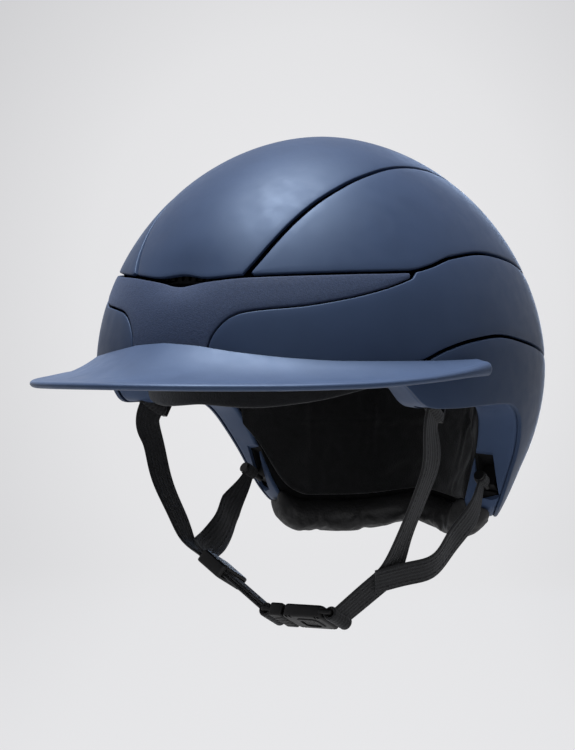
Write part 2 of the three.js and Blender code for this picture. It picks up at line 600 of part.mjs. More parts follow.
add(
  "base_shell",
  cut(
    dome(COLUMNS, DOME_ROWS, BASE_TOP, BASE_BOTTOM, rimLift(EDGE_CLEARANCE)),
    ventDuct(VENT_HEIGHT + 0.8 + 2 * CLEARANCE, -4, BASE_BOTTOM + 4),
    ...eachAnchor(rivetHole),
    ...eachAnchor(rivetRecess),
  ),
  shellPlastic,
);
add(
  "eps_liner",
  cut(
    dome(COLUMNS, DOME_ROWS, FOAM_TOP, FOAM_BOTTOM, rimLift(EDGE_CLEARANCE)),
    ventDuct(VENT_HEIGHT + 2, -4, FOAM_BOTTOM + 8),
    ...eachAnchor(anchorPocket),
    ...eachAnchor(rivetHole),
    ...eachAnchor(rivetRecess),
  ),
  foam,
);
add("vent_grille", ventGrille(), blackPlastic);

// Edge trim: a closed ring that covers the foam's lower edge, set just inside the lower shell.
const TRIM_INNER = FOAM_BOTTOM - 0.4;
function rimTrim() {
  const outerDepth = PANEL_WALL + 0.5;
  const sections = [];
  for (const angle of COLUMNS) {
    const low = rimLine(angle) + 0.4;
    const high = rimLift(0)(angle);
    sections.push([
      onShell(angle, high, outerDepth),
      onShell(angle, low, outerDepth),
      onShell(angle, low, TRIM_INNER),
      onShell(angle, high, TRIM_INNER),
    ]);
  }
  return cut(loft(sections, true), ...eachAnchor(rimSlot));
}
add("rim_trim", rimTrim(), trimPaint);
for (const [side, mirror] of SIDES) {
  for (const kind of KINDS) {
    add(`anchor_${kind.name}_${side}`, anchor(kind, mirror), blackPlastic);
    add(`rivet_${kind.name}_${side}`, rivet(kind, mirror), steel);
  }
}

// ---- Brim -------------------------------------------------------------------------------------------------------
// Share of the way from its end's reach to its front's, by share of the angle.
const brimFullness = smoothLine([[0, 1], [0.17, 0.9], [0.35, 0.64], [0.52, 0.47], [0.7, 0.31], [0.87, 0.12],
  [1, 0]]);
const brimReach = (angle) =>
  BRIM_REACH_END + (BRIM_REACH_FRONT - BRIM_REACH_END) * brimFullness(Math.abs(angle) / BRIM_END_ANGLE);
const brimEdgeTop = mirrored(fromCentre([[0, -3.6], [48, -3.6], [62, -2.2], [75, 1.2], [84, 4.4]]));
const brimEdgeWall = mirrored(smoothLine([[0, 3.6], [60, 3.6], [74, 4.6], [84, 7]]));
const BRIM_ROOT_WALL = 9;
const BRIM_FLARE = 2.6; // how quickly the upper face levels out

function brimSection(angle, reach) {
  const root = onShell(angle, brimRoot(angle), -SHELL_CLEARANCE);
  const out = outward(V(root.x, root.y, CENTRE_Z));
  const [rootZ, edgeZ] = [brimRoot(angle), brimEdgeTop(angle)];
  const wall = brimEdgeWall(angle);
  const at = (share, z) => {
    const foot = onShell(angle, Math.min(z, rootZ), -SHELL_CLEARANCE);
    const surface = V(foot.x, foot.y, z);
    return surface.addScaledVector(out, share * reach);
  };
  const topZ = (share) => edgeZ + (rootZ - edgeZ) * Math.pow(1 - share, BRIM_FLARE);
  const lowZ = (share) => topZ(share) - wall - (BRIM_ROOT_WALL - wall) * Math.pow(1 - share, 3);
  const shares = [0, 0.06, 0.14, 0.26, 0.42, 0.62, 0.82];
  const nose = Math.min(1.4 / reach, 0.15);
  return [
    ...shares.map((s) => at(s, topZ(s))),
    at(1 - nose, edgeZ),
    at(1, edgeZ - wall * 0.32),
    at(1, edgeZ - wall * 0.7),
    at(1 - nose, edgeZ - wall),
    ...shares.map((s) => at(s, lowZ(s))).reverse(),
  ];
}
function brim() {
  const steps = 32;
  const sections = [];
  for (let i = 0; i <= steps; i++) {
    const angle = BRIM_END_ANGLE * Math.sin((i / steps - 0.5) * Math.PI * 0.94) / Math.sin(0.47 * Math.PI);
    sections.push(brimSection(angle, brimReach(angle)));
  }
  return loft(sections);
}
add("brim", brim(), brimPaint);

// ---- Comfort pads -------------------------------------------------------------------------------------------------
// A pad that follows the foam: thick in the middle and drawn in at its edges.
function pad(from, to, columns, topLine, bottomLine, rows = 4) {
  return slab(columns, rows, (u, v, side) => {
    const angle = from + (to - from) * u;
    const z = topLine(angle) + (bottomLine(angle) - topLine(angle)) * v;
    const swell = Math.pow(Math.sin(Math.PI * u) * Math.sin(Math.PI * v), 0.35);
    const thickness = 2 + (PAD_WALL - 2) * swell;
    return onShell(angle, z, PAD_TOP + side * thickness);
  });
}
const level = (height) => () => CENTRE_Z + height;
const PAD_JOIN_ANGLE = 61;
const REAR_PAD_ANGLE = 106;
const browPadBottom = mirrored(fromCentre([[0, -17], [20, -18.5], [40, -15.5], [PAD_JOIN_ANGLE, -8]]));
add("brow_pad", pad(-PAD_JOIN_ANGLE, PAD_JOIN_ANGLE, 22, level(18), browPadBottom), padFabric);
for (const [side, mirror] of SIDES) {
  add(
    `side_pad_${side}`,
    pad(mirror * (PAD_JOIN_ANGLE + 3), mirror * (REAR_PAD_ANGLE - 3), 9, level(18), level(-9)),
    padFabric,
  );
}
const rearPadBottom = fromCentre([[100, -22], [112, -42], [118, -59], [123, -66.5], [130, -70], [145, -70],
  [180, -65.5]]);
add(
  "rear_pad",
  pad(REAR_PAD_ANGLE, 360 - REAR_PAD_ANGLE, 22, level(12), mirrored(rearPadBottom), 6),
  padFabric,
);

// Padded roll under the nape's rim. It lies along the trim and turns up behind it.
const ROLL_END_ANGLE = 117.5;
const ROLL_DROP = 10.5; // below the rim
const ROLL_RISE = 6; // behind the trim
const ROLL_TOP = FOAM_BOTTOM + SHELL_CLEARANCE;
const ROLL_WALL = 6.5;
const ROLL_END_RISE = -3; // of the middle of its closed ends
function napeRoll() {
  const outline = [
    [4, -0.7], [TRIM_INNER + 3 * CLEARANCE, -0.7], [ROLL_TOP, 1.5], [ROLL_TOP + 0.3, ROLL_RISE], [ROLL_TOP + ROLL_WALL * 0.8, ROLL_RISE],
    [ROLL_TOP + ROLL_WALL, -1], [ROLL_TOP + ROLL_WALL * 0.7, -ROLL_DROP * 0.75], [22, -ROLL_DROP],
    [11, -ROLL_DROP], [4.5, -ROLL_DROP * 0.72],
  ];
  const angles = COLUMNS.filter((angle) => Math.abs(angle - 180) <= 180 - ROLL_END_ANGLE);
  const section = (angle, size) => outline.map(([depth, rise]) => onShell(
    angle,
    rimLine(angle) + ROLL_END_RISE + size * (rise - ROLL_END_RISE),
    ROLL_TOP + 2 + size * (depth - ROLL_TOP - 2),
  ));
  const first = section(angles[0] - 0.6, 0.15);
  const last = section(angles.at(-1) + 0.6, 0.15);
  return loft([first, ...angles.map((angle) => section(angle, 1)), last]);
}
add("nape_roll", napeRoll(), padFabric);

// Crown pad: a cushion whose lower face is flat in the middle, where the head's crown sits.
const CROWN_PAD_RADIUS = 36;
const CROWN_PAD_CLEARANCE = 0.9; // to the liner's true curve, whose facets hang below it
const CROWN_RIM_WALL = 3;
function crownPad() {
  const under = (radius) => toShellHeight(radius, FOAM_BOTTOM) - CROWN_PAD_CLEARANCE;
  const lower = (radius) => Math.min(0, under(radius) - CROWN_RIM_WALL);
  const profile = [];
  for (const share of [0, 0.3, 0.55, 0.66, 0.75, 0.85, 0.94]) {
    profile.push(new THREE.Vector2(CROWN_PAD_RADIUS * share, lower(CROWN_PAD_RADIUS * share)));
  }
  profile.push(new THREE.Vector2(CROWN_PAD_RADIUS, under(CROWN_PAD_RADIUS) - CROWN_RIM_WALL / 2));
  for (const share of [0.94, 0.7, 0.4, 0]) {
    profile.push(new THREE.Vector2(CROWN_PAD_RADIUS * share, under(CROWN_PAD_RADIUS * share)));
  }
  return new THREE.LatheGeometry(profile, 28).rotateX(Math.PI / 2);
}
// Lowest height of the layer's under-face at a distance from the vertical axis.
function toShellHeight(radius, depth) {
  const flat = radius / (HALF_WIDTH - depth);
  return CENTRE_Z + (HALF_HEIGHT - depth) * Math.pow(1 - Math.pow(flat, ROUNDNESS), 1 / ROUNDNESS);
}
add("crown_pad", crownPad(), padFabric);

// ---- Harness --------------------------------------------------------------------------------------------------------
// Buckle frame: the clasp slides along +X, its outer face looks down and forward.
const BUCKLE_TILT = 24 * DEG;
const faceOut = V(0, -Math.sin(BUCKLE_TILT), -Math.cos(BUCKLE_TILT));
const across = V(0, -Math.cos(BUCKLE_TILT), Math.sin(BUCKLE_TILT));
const slideAxis = V(1, 0, 0);
const CHIN = V(24.5, -42, -211); // middle of the housing
const inBuckle = (x, y, z) => CHIN.clone().addScaledVector(slideAxis, x)
  .addScaledVector(across, y).addScaledVector(faceOut, z);
const buckleBox = (l, w, h, x, y, z) => placed(box(l, w, h), inBuckle(x, y, z), slideAxis, across, faceOut);
const bucklePlate = (l, w, corner, h, x, y, z) =>
  placed(roundedPlate(l, w, corner, h), inBuckle(x, y, z), slideAxis, across, faceOut);

const HOUSING_WALL = 1.3;
const TONGUE_CLEARANCE = 1; // round the blade, for the tilt between the two halves as they part
const BAR_WIDTH = 3; // of the bars that hold the webbing
const BAR_HEIGHT = 2.4;
const BUCKLE_LOOP_INNER = Math.hypot(BAR_WIDTH, BAR_HEIGHT) / 2 + CLEARANCE;
const BUCKLE_LOOP_OUTER = BUCKLE_LOOP_INNER + BELT_THICKNESS;
const housingEnd = BUCKLE_LENGTH / 2;
const housingBarX = housingEnd + CLEARANCE + BUCKLE_LOOP_OUTER;
const WINDOW_LENGTH = 10;
const WINDOW_WIDTH = 8.4;
const WINDOW_X = 1;
const cavityHeight = BUCKLE_HEIGHT - 2 * HOUSING_WALL;

// Rails and a bar across their end, for webbing to loop round. The frame starts at x = start.
function barFrame(start, barX, z) {
  const direction = Math.sign(barX - start);
  const end = barX + (direction * BAR_WIDTH) / 2;
  const plate = bucklePlate(Math.abs(end - start), BUCKLE_WIDTH, 1.4, BAR_HEIGHT, (start + end) / 2, 0, z);
  const inner = barX - (direction * BAR_WIDTH) / 2;
  const rootX = barX - direction * (BUCKLE_LOOP_OUTER + CLEARANCE);
  const passage = BELT_WIDTH + 2 * BUCKLE_PLAY;
  const gap = buckleBox(Math.abs(inner - rootX), passage, BUCKLE_HEIGHT, (inner + rootX) / 2, 0, z);
  return solid(plate).subtract(solid(gap));
}
function buckleHousing() {
  const body = bucklePlate(BUCKLE_LENGTH, BUCKLE_WIDTH, 3, BUCKLE_HEIGHT, 0, 0, 0);
  const cavity = buckleBox(BUCKLE_LENGTH, BUCKLE_WIDTH - 2 * HOUSING_WALL, cavityHeight, -4, 0, 0);
  const window = bucklePlate(WINDOW_LENGTH, WINDOW_WIDTH, 2, BUCKLE_HEIGHT, WINDOW_X, 0, BUCKLE_HEIGHT / 2);
  return geometryFrom(
    solid(body).subtract(solid(cavity)).subtract(solid(window)).add(barFrame(housingEnd - 3, housingBarX, 0)),
  );
}
add("buckle_housing", buckleHousing(), blackPlastic);

// Push button: a pad in the window on a shoe longer than the window, so that it can't fall out.
function releaseButton() {
  const faceZ = BUCKLE_HEIGHT / 2 - 0.3;
  const shoeZ = cavityHeight / 2 - CLEARANCE;
  return join(
    bucklePlate(WINDOW_LENGTH - 0.8, WINDOW_WIDTH - 0.8, 1.4, faceZ - shoeZ + 1, WINDOW_X, 0, (faceZ + shoeZ - 1) / 2),
    buckleBox(WINDOW_LENGTH + 2, WINDOW_WIDTH - 0.8, 1, WINDOW_X, 0, shoeZ - 0.5),
  );
}
add("release_button", releaseButton(), blackPlastic);

// Tongue: a forked blade in the housing, whose arms pass the button, and outside it a ribbed grip with a bar for the adjustable webbing.
const BLADE_WALL = 1.6;
const BLADE_Z = -cavityHeight / 2 + TONGUE_CLEARANCE + BLADE_WALL / 2;
const GRIP_LENGTH = 8;
const gripStart = -housingEnd - 0.5;
const tongueBarX = gripStart - GRIP_LENGTH - BUCKLE_LOOP_OUTER;
function buckleTongue() {
  const bladeWidth = BUCKLE_WIDTH - 2 * (HOUSING_WALL + TONGUE_CLEARANCE);
  const blade = buckleBox(TONGUE_REACH + 2, bladeWidth, BLADE_WALL, gripStart + TONGUE_REACH / 2 - 1, 0, BLADE_Z);
  const fork = buckleBox(TONGUE_REACH, WINDOW_WIDTH + 0.6, BUCKLE_HEIGHT, gripStart + TONGUE_REACH / 2 + 2, 0, 0);
  const grip = bucklePlate(GRIP_LENGTH, BUCKLE_WIDTH, 1.4, BUCKLE_HEIGHT, gripStart - GRIP_LENGTH / 2, 0, 0);
  const rails = barFrame(gripStart - GRIP_LENGTH + 1, tongueBarX, 0);
  return geometryFrom(solid(blade).subtract(solid(fork)).add(solid(grip)).add(rails));
}
add("buckle_tongue", buckleTongue(), blackPlastic);

// Straps. Each upper end is sewn round its anchor's bar.
function barLoop(centre, axis, inner, width = BELT_WIDTH) {
  const ring = new THREE.Shape();
  ring.absarc(0, 0, inner + BELT_THICKNESS, 0, 2 * Math.PI);
  const hole = new THREE.Path();
  hole.absarc(0, 0, inner, 0, 2 * Math.PI, true);
  ring.holes.push(hole);
  const made = new THREE.ExtrudeGeometry(ring, { depth: width, bevelEnabled: false, curveSegments: 6 });
  made.translate(0, 0, -width / 2);
  const [x, y, z] = frameFrom(axis, V(0, 0, 1));
  return placed(made, centre, x, y, z);
}
const acrossBack = across.clone().negate();

// Where two straps meet: a point before or past the joint, in the plane of the joint, on a layer.
// The angle turns the strap's line towards the back, and the layer counts outwards from the face.
function junction(centre, forward, sideHint) {
  const side = sideHint.clone().addScaledVector(forward, -sideHint.dot(forward)).normalize();
  const face = side.clone().cross(forward).normalize();
  if (face.z > 0) face.negate();
  return (distance, turn, layer) => {
    const a = turn * DEG;
    const run = forward.clone().multiplyScalar(Math.cos(a)).addScaledVector(side, -Math.sin(a));
    return {
      point: centre.clone().addScaledVector(run, distance).addScaledVector(face, layer),
      width: forward.clone().multiplyScalar(Math.sin(a)).addScaledVector(side, Math.cos(a)),
      face,
    };
  };
}
const stop = (point, width) => ({ point, width });
// The two stops where a strap leaves its loop, square to the bar.
function leaving(line, kind, straight) {
  const at = (distance) => stop(line[kind.name].clone().addScaledVector(line.up, -distance), line.axis);
  return [at(LOOP_INNER + BELT_THICKNESS / 2), at(straight)];
}

// Left: the front strap runs on to the housing, and the rear strap is sewn to its outside.
const left = hinge(1);
const JOIN_LEFT = V(63, -29, -189);
const housingBar = inBuckle(housingBarX, 0, 0);
const leftRun = housingBar.clone().sub(JOIN_LEFT).normalize();
const meetLeft = junction(JOIN_LEFT, leftRun, V(0, 0.84, -0.5));
const SEWN_LAYER = BELT_THICKNESS + 0.25;
const frontLeft = [
  ...leaving(left, FRONT_ANCHOR, 9),
  stop(V(89.7, -28.5, -131), V(-0.1, 0.97, -0.15)),
  stop(V(84.6, -29, -145), V(-0.15, 0.96, -0.1)),
  stop(V(73.5, -29, -168), V(-0.2, 0.94, -0.15)),
  meetLeft(0, 0, 0),
  meetLeft(8, 0, 0),
  stop(housingBar.clone().addScaledVector(leftRun, -BUCKLE_LOOP_INNER - BELT_THICKNESS / 2), acrossBack),
];
add(
  "strap_front_left",
  join(
    webbing(frontLeft, 32),
    barLoop(left.front, left.axis, LOOP_INNER),
    barLoop(housingBar, across, BUCKLE_LOOP_INNER),
  ),
  beltFabric,
);
const rearLeft = [
  ...leaving(left, REAR_ANCHOR, 7),
  stop(V(79, 24, -158.5), V(-0.2, 0.62, -0.75)),
  stop(V(77, 9, -171.5), V(-0.2, 0.58, -0.78)),
  meetLeft(-22, 34, SEWN_LAYER + 2.4),
  meetLeft(-10, 34, SEWN_LAYER + 1.1),
  meetLeft(8, 34, SEWN_LAYER + 0.2),
];
add(
  "strap_rear_left",
  join(webbing(rearLeft, 26, REAR_SLEEVE), barLoop(left.rear, left.axis, LOOP_INNER, REAR_SLEEVE)),
  beltFabric,
);

// Right: both straps meet in the divider. The front one runs on, round the tongue's bar and back.
const right = hinge(-1);
const tongueBar = inBuckle(tongueBarX, 0, 0);
const JOIN_RIGHT = V(-55, -30, -183);
const rightRun = tongueBar.clone().sub(JOIN_RIGHT).normalize();
const meetRight = junction(JOIN_RIGHT, rightRun, acrossBack);
const RUN_LENGTH = tongueBar.distanceTo(JOIN_RIGHT);
const LAYER = BELT_THICKNESS / 2 + 0.2;
const DIVIDER_LENGTH = 20;
const DIVIDER_START = 6.5;
const dividerEnd = DIVIDER_START + DIVIDER_LENGTH;
const frontRight = [
  ...leaving(right, FRONT_ANCHOR, 9),
  stop(V(-91.2, -28.5, -124), V(0.1, 0.97, -0.15)),
  stop(V(-84.2, -29.5, -145), V(0.15, 0.95, -0.2)),
  stop(V(-72, -31, -164), V(0.15, 0.92, -0.3)),
  meetRight(-9, -6, LAYER + 0.6),
  meetRight(2, 0, LAYER),
  meetRight(RUN_LENGTH * 0.55, 0, LAYER),
  meetRight(RUN_LENGTH - BUCKLE_LOOP_INNER, 0, LAYER),
];
const returned = [
  meetRight(dividerEnd + 2.6, 0, -LAYER),
  meetRight((dividerEnd + RUN_LENGTH) / 2, 0, -LAYER),
  meetRight(RUN_LENGTH - BUCKLE_LOOP_INNER, 0, -LAYER),
];
add(
  "strap_front_right",
  join(
    webbing(frontRight, 34),
    webbing(returned, 4),
    barLoop(right.front, right.axis, LOOP_INNER),
    barLoop(tongueBar, across, BUCKLE_LOOP_INNER),
  ),
  beltFabric,
);
const rearRight = [
  ...leaving(right, REAR_ANCHOR, 7),
  stop(V(-77, 20, -160.5), V(0.2, 0.62, -0.75)),
  stop(V(-70, 5, -170.5), V(0.2, 0.6, -0.75)),
  meetRight(-17, 46, -LAYER - 3.8),
  meetRight(-8, 36, -LAYER - 1),
  meetRight(4, 0, -LAYER),
  meetRight(dividerEnd + 1.2, 0, -LAYER),
];
add(
  "strap_rear_right",
  join(webbing(rearRight, 26, REAR_SLEEVE), barLoop(right.rear, right.axis, LOOP_INNER, REAR_SLEEVE)),
  beltFabric,
);

// Divider: a slotted slider that holds the two layers of webbing together.
const DIVIDER_WIDTH = BELT_WIDTH + 6;
const DIVIDER_PASSAGE = 2 * (LAYER + BELT_THICKNESS / 2) + 3 * CLEARANCE;
function divider() {
  const { point, width, face } = meetRight(DIVIDER_START + DIVIDER_LENGTH / 2, 0, 0);
  const put = (geometry) => placed(geometry, point, rightRun, face.clone().cross(rightRun), face);
  const body = put(roundedPlate(DIVIDER_LENGTH, DIVIDER_WIDTH, 3, DIVIDER_PASSAGE + 3));
  const slot = put(box(DIVIDER_LENGTH + 4, BELT_WIDTH + 2.4, DIVIDER_PASSAGE));
  const grip = put(box(DIVIDER_LENGTH * 0.3, DIVIDER_WIDTH - 8, 1.6).translate(-1, 0, DIVIDER_PASSAGE / 2 + 1.5));
  return cut(body, slot, grip);
}
add("strap_divider", divider(), blackPlastic);

export default helmet;
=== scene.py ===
import math

import bmesh
import bpy
import numpy as np
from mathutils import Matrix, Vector


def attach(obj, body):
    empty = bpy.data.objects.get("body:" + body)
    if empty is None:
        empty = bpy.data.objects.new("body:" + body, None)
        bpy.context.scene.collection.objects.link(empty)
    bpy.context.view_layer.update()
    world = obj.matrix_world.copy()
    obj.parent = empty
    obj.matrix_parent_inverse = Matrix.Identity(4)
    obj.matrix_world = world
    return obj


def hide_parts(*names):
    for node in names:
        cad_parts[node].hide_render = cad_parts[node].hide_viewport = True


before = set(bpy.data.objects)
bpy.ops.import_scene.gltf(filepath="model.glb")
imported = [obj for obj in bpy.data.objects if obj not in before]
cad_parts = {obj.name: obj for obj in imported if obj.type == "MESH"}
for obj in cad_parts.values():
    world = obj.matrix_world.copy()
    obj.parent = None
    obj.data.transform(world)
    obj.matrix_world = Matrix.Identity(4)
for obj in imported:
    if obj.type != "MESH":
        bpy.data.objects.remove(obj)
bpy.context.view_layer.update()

MM = 0.001
DEG = math.pi / 180

# ---- Driving dimensions ----
# Sizes are the CAD model's, apart from the gaps of the seams and a few lines that follow the photo closer.
HALF_LENGTH, HALF_WIDTH, HALF_HEIGHT = 130.0, 108.0, 120.0
ROUNDNESS = 1.92
NAPE_FULLNESS = 0.045
PANEL_WALL = 2.2
SKIN_DEPTH = PANEL_WALL + 0.05
FOAM_TOP = 5.9
FOAM_BOTTOM = 24.9
PAD_TOP = 26.2
PAD_WALL = 6.5
CENTRE_Z = -85.4
RIM_WALL = 2.4
SEAM_GAP = 1.85
WING_GAP = 1.0
BELT_WIDTH, BELT_THICKNESS = 16.0, 1.6
CENTRE = np.array([0.0, 0.0, CENTRE_Z])


# ---- Shell surface ----
def on_shell(angle, z, depth):
    """Points at angles from the front (degrees, + to the wearer's left), heights and depths."""
    angle, z, depth = np.broadcast_arrays(np.asarray(angle, float), z, depth)
    above_centre = z > CENTRE_Z
    radius = np.where(above_centre, HALF_HEIGHT - depth, HALF_HEIGHT)
    share = np.minimum(1, np.abs(z - CENTRE_Z) / radius)
    nape = np.where(above_centre, 0, NAPE_FULLNESS * (np.maximum(0, share - 0.42) / 0.24) ** 1.5)
    ring = (1 - share ** ROUNDNESS) ** (1 / ROUNDNESS) + nape
    a = angle * DEG
    x = (HALF_WIDTH - depth) * ring * np.sin(a)
    y = -(HALF_LENGTH - depth) * ring * np.cos(a)
    return np.stack([x, y, z], -1)


def to_shell(point, depth):
    """Moves points straight from the shell's centre onto the layer at a depth."""
    d = np.asarray(point, float) - CENTRE
    depth = np.asarray(depth, float)
    radius = np.where(d[..., 2] > 0, HALF_HEIGHT - depth, HALF_HEIGHT)
    flat = np.hypot(d[..., 0] / (HALF_WIDTH - depth), d[..., 1] / (HALF_LENGTH - depth))
    up = np.abs(d[..., 2]) / radius
    size = (flat ** ROUNDNESS + up ** ROUNDNESS) ** (1 / ROUNDNESS)
    return CENTRE + d / size[..., None]


def outward(point):
    d = np.asarray(point, float) - CENTRE
    flat = np.maximum(1e-6, np.hypot(d[..., 0] / HALF_WIDTH, d[..., 1] / HALF_LENGTH))
    side = flat ** (ROUNDNESS - 2)
    up = np.abs(d[..., 2]) / HALF_HEIGHT
    rise = np.sign(d[..., 2]) * up ** (ROUNDNESS - 1) / HALF_HEIGHT
    n = np.stack([side * d[..., 0] / HALF_WIDTH ** 2, side * d[..., 1] / HALF_LENGTH ** 2, rise], -1)
    return n / np.linalg.norm(n, axis=-1, keepdims=True)


def hermite(t, start, start_slope, end, end_slope):
    """A cubic between two values with given slopes, for t from 0 to 1."""
    return ((2 * t ** 3 - 3 * t ** 2 + 1) * start + (t ** 3 - 2 * t ** 2 + t) * start_slope
            + (3 * t ** 2 - 2 * t ** 3) * end + (t ** 3 - t ** 2) * end_slope)


def distances(points):
    """How far along a row of points each one lies."""
    return np.concatenate([[0], np.cumsum(np.linalg.norm(np.diff(points, axis=0), axis=1))])


def resampled(points, along, at):
    """Points or directions at distances along a row of them."""
    return np.stack([np.interp(at, along, column) for column in points.T], -1)


def smooth_line(points):
    """Smooth line through (x, y) points that never overshoots them."""
    xs, ys = np.array(points, float).T
    slope = np.diff(ys) / np.diff(xs)
    tangent = np.empty(len(xs))
    tangent[0], tangent[-1] = slope[0], slope[-1]
    product = slope[:-1] * slope[1:]
    total = np.where(product > 0, slope[:-1] + slope[1:], 1)
    tangent[1:-1] = np.where(product > 0, 2 * product / total, 0)

    def line(x):
        x = np.clip(np.asarray(x, float), xs[0], xs[-1])
        i = np.clip(np.searchsorted(xs, x, side="right") - 1, 0, len(xs) - 2)
        h = xs[i + 1] - xs[i]
        return hermite((x - xs[i]) / h, ys[i], h * tangent[i], ys[i + 1], h * tangent[i + 1])
    return line


def round_shell(pairs):
    """A mirrored line round the shell from (angle from the front, height above the widest level)."""
    line = smooth_line([(a, h + CENTRE_Z) for a, h in pairs])

    def mirrored(angle):
        angle = np.mod(np.asarray(angle, float) + 180, 360) - 180
        return line(np.abs(angle))
    return mirrored


belt_seam = round_shell([
    (0, 45.8), (9, 45.9), (22, 47.4), (50, 49), (67, 49.8), (73, 52), (82, 56.8), (95, 59.1),
    (110, 56.2), (129, 48.3), (150, 38), (166, 31), (180, 28)])
wing_seam = round_shell([
    (0, 0.4), (11.4, 0.4), (12.1, 6), (12.8, 12), (13.6, 16.8), (15.1, 21.4), (16.6, 24.6),
    (18.6, 27.3), (21.5, 29.4), (27, 30.9), (36.5, 32.5), (43.7, 34.6), (49, 36.5), (58.4, 40.9),
    (65.9, 45.6), (70, 49)])
lower_seam = round_shell([
    (0, 0), (56, 0), (64, 2.4), (68, 5.1), (74, 10.4), (83.5, 15.2), (93, 17.1), (106, 13.8),
    (129, 5.4), (152, -4), (180, -9)])
rim_line = round_shell([
    (0, -8.5), (30, -8.5), (45, -7.2), (55, -5.6), (60, -5), (62.2, -6), (63.6, -8.2), (66.2, -13.4),
    (68.1, -16.6), (70.3, -18.3), (73, -18.9), (79, -18.8), (86.4, -17.9), (93.4, -17.4), (98, -17.6),
    (101.5, -19.6), (104.5, -23.3), (106.6, -28), (109, -35.5), (111.8, -46), (114.2, -57),
    (116.8, -66.6), (120, -73.5), (127, -78), (145, -78), (180, -73)])
brim_root = round_shell([
    (0, 14), (10.8, 12.6), (15, 11.3), (24, 9), (37, 6.5), (48, 5.4), (70, 5.2), (84, 5.8)])
brim_edge_top = round_shell([(0, -4.6), (30, -5), (48, -4.2), (62, -2.2), (75, 1.2), (84, 4.4)])
crown_seam_x = smooth_line([
    (-112, 34.5), (-102.5, 39.6), (-89.5, 43.9), (-70.5, 48.1), (-49.8, 51.3), (-26, 52.8), (-4, 52.5),
    (19, 51.6), (39, 49.9), (58, 47.5), (78, 44), (97, 38.5), (111, 33), (118, 30)])
WING_TIP_ANGLE, WING_FRONT_ANGLE = 67.5, 12.9
BACK_SEAM_ANGLE = 179.6
CROWN_FRONT_ANGLE, CROWN_BACK_ANGLE = 20.6, 162.5
VENT_HEIGHT, VENT_HALF_ANGLE = 4.6, 6.2
VENT_DIP, VENT_DIP_HALF_WIDTH, VENT_DIP_UP, VENT_DIP_DOWN = 2.5, 18, 13, 8


def steepness(line, angle):
    step = 0.25
    a = on_shell(angle - step, line(angle - step), 0)
    b = on_shell(angle + step, line(angle + step), 0)
    run = np.hypot(b[..., 0] - a[..., 0], b[..., 1] - a[..., 1])
    return np.minimum(3, np.hypot(1, (b[..., 2] - a[..., 2]) / run))


def above(line, gap=SEAM_GAP):
    return lambda angle: line(angle) + gap / 2 * steepness(line, angle)


def below(line, gap=SEAM_GAP):
    return above(line, -gap)


def vent_bulge(angle):
    return VENT_HEIGHT / 2 * np.exp(-((angle / VENT_HALF_ANGLE) ** 2))


def vent_dent(points):
    """How far the panels dip towards the air intake."""
    d = points - on_shell(0, belt_seam(0), 0)
    reach = np.where(d[..., 2] > 0, VENT_DIP_UP, VENT_DIP_DOWN)
    return VENT_DIP * np.exp(-((d[..., 0] / VENT_DIP_HALF_WIDTH) ** 2) - (d[..., 2] / reach) ** 2)


# ---- Mesh making ----
def new_object(name, data):
    obj = bpy.data.objects.new(name, data)
    bpy.context.scene.collection.objects.link(obj)
    return obj


def mesh_object(name, points, faces, sharp=40, marks=None):
    """A mesh from millimetre points, smooth but for edges sharper than an angle. Webbing has cloth marks."""
    mesh = bpy.data.meshes.new(name)
    mesh.from_pydata([tuple(p) for p in np.asarray(points) * MM], [], faces)
    if marks is not None:
        layer = mesh.attributes.new("cloth", "FLOAT_VECTOR", "POINT")
        layer.data.foreach_set("vector", np.array(marks, np.float32).reshape(-1) * MM)
    bm = bmesh.new()
    bm.from_mesh(mesh)
    if marks is None:
        bmesh.ops.remove_doubles(bm, verts=bm.verts, dist=1e-7)
        bmesh.ops.dissolve_degenerate(bm, edges=bm.edges, dist=1e-7)
    bmesh.ops.recalc_face_normals(bm, faces=bm.faces)
    bm.to_mesh(mesh)
    bm.free()
    mesh.shade_smooth()
    mesh.set_sharp_from_angle(angle=sharp * DEG)
    return new_object(name, mesh)


def grid_faces(rows, columns, first=0, loop_rows=False, loop_columns=False):
    faces = []
    for i in range(rows if loop_rows else rows - 1):
        for j in range(columns if loop_columns else columns - 1):
            a, b = i * columns, (i + 1) % rows * columns
            k = (j + 1) % columns
            faces.append((first + a + j, first + b + j, first + b + k, first + a + k))
    return faces


def end_faces(rows, columns, first=0):
    """The two faces that close a tube."""
    last = first + (rows - 1) * columns
    return [tuple(range(first, first + columns)), tuple(range(last + columns - 1, last - 1, -1))]


def slab(name, outer, inner, sharp):
    """A closed slab between two grids of points of the same size."""
    rows, columns = outer.shape[:2]
    count = rows * columns
    faces = grid_faces(rows, columns) + [f[::-1] for f in grid_faces(rows, columns, count)]
    index = np.arange(count).reshape(rows, columns)
    border = [*index[:-1, 0], *index[-1, :-1], *index[:0:-1, -1], *index[0, :0:-1]]
    for a, b in zip(border, border[1:] + border[:1]):
        faces.append((b, a, a + count, b + count))
    return mesh_object(name, np.concatenate([outer.reshape(-1, 3), inner.reshape(-1, 3)]), faces, sharp)


def loft(name, sections, loop=False, sharp=40):
    """A closed solid through cross-sections with the same number of points each."""
    sections = np.asarray(sections, float)
    size = sections.shape[:2]
    faces = grid_faces(*size, loop_rows=loop, loop_columns=True)
    if not loop:
        faces += end_faces(*size)
    return mesh_object(name, sections.reshape(-1, 3), faces, sharp)


EDGE_STEPS = np.array([0, 0.08, 0.22, 0.4, 0.65, 1.2, 2.4, 4.5])
EDGE_RADIUS = 0.6
SHOULDER_DROP, SHOULDER_WIDTH = 0.2, 1.8


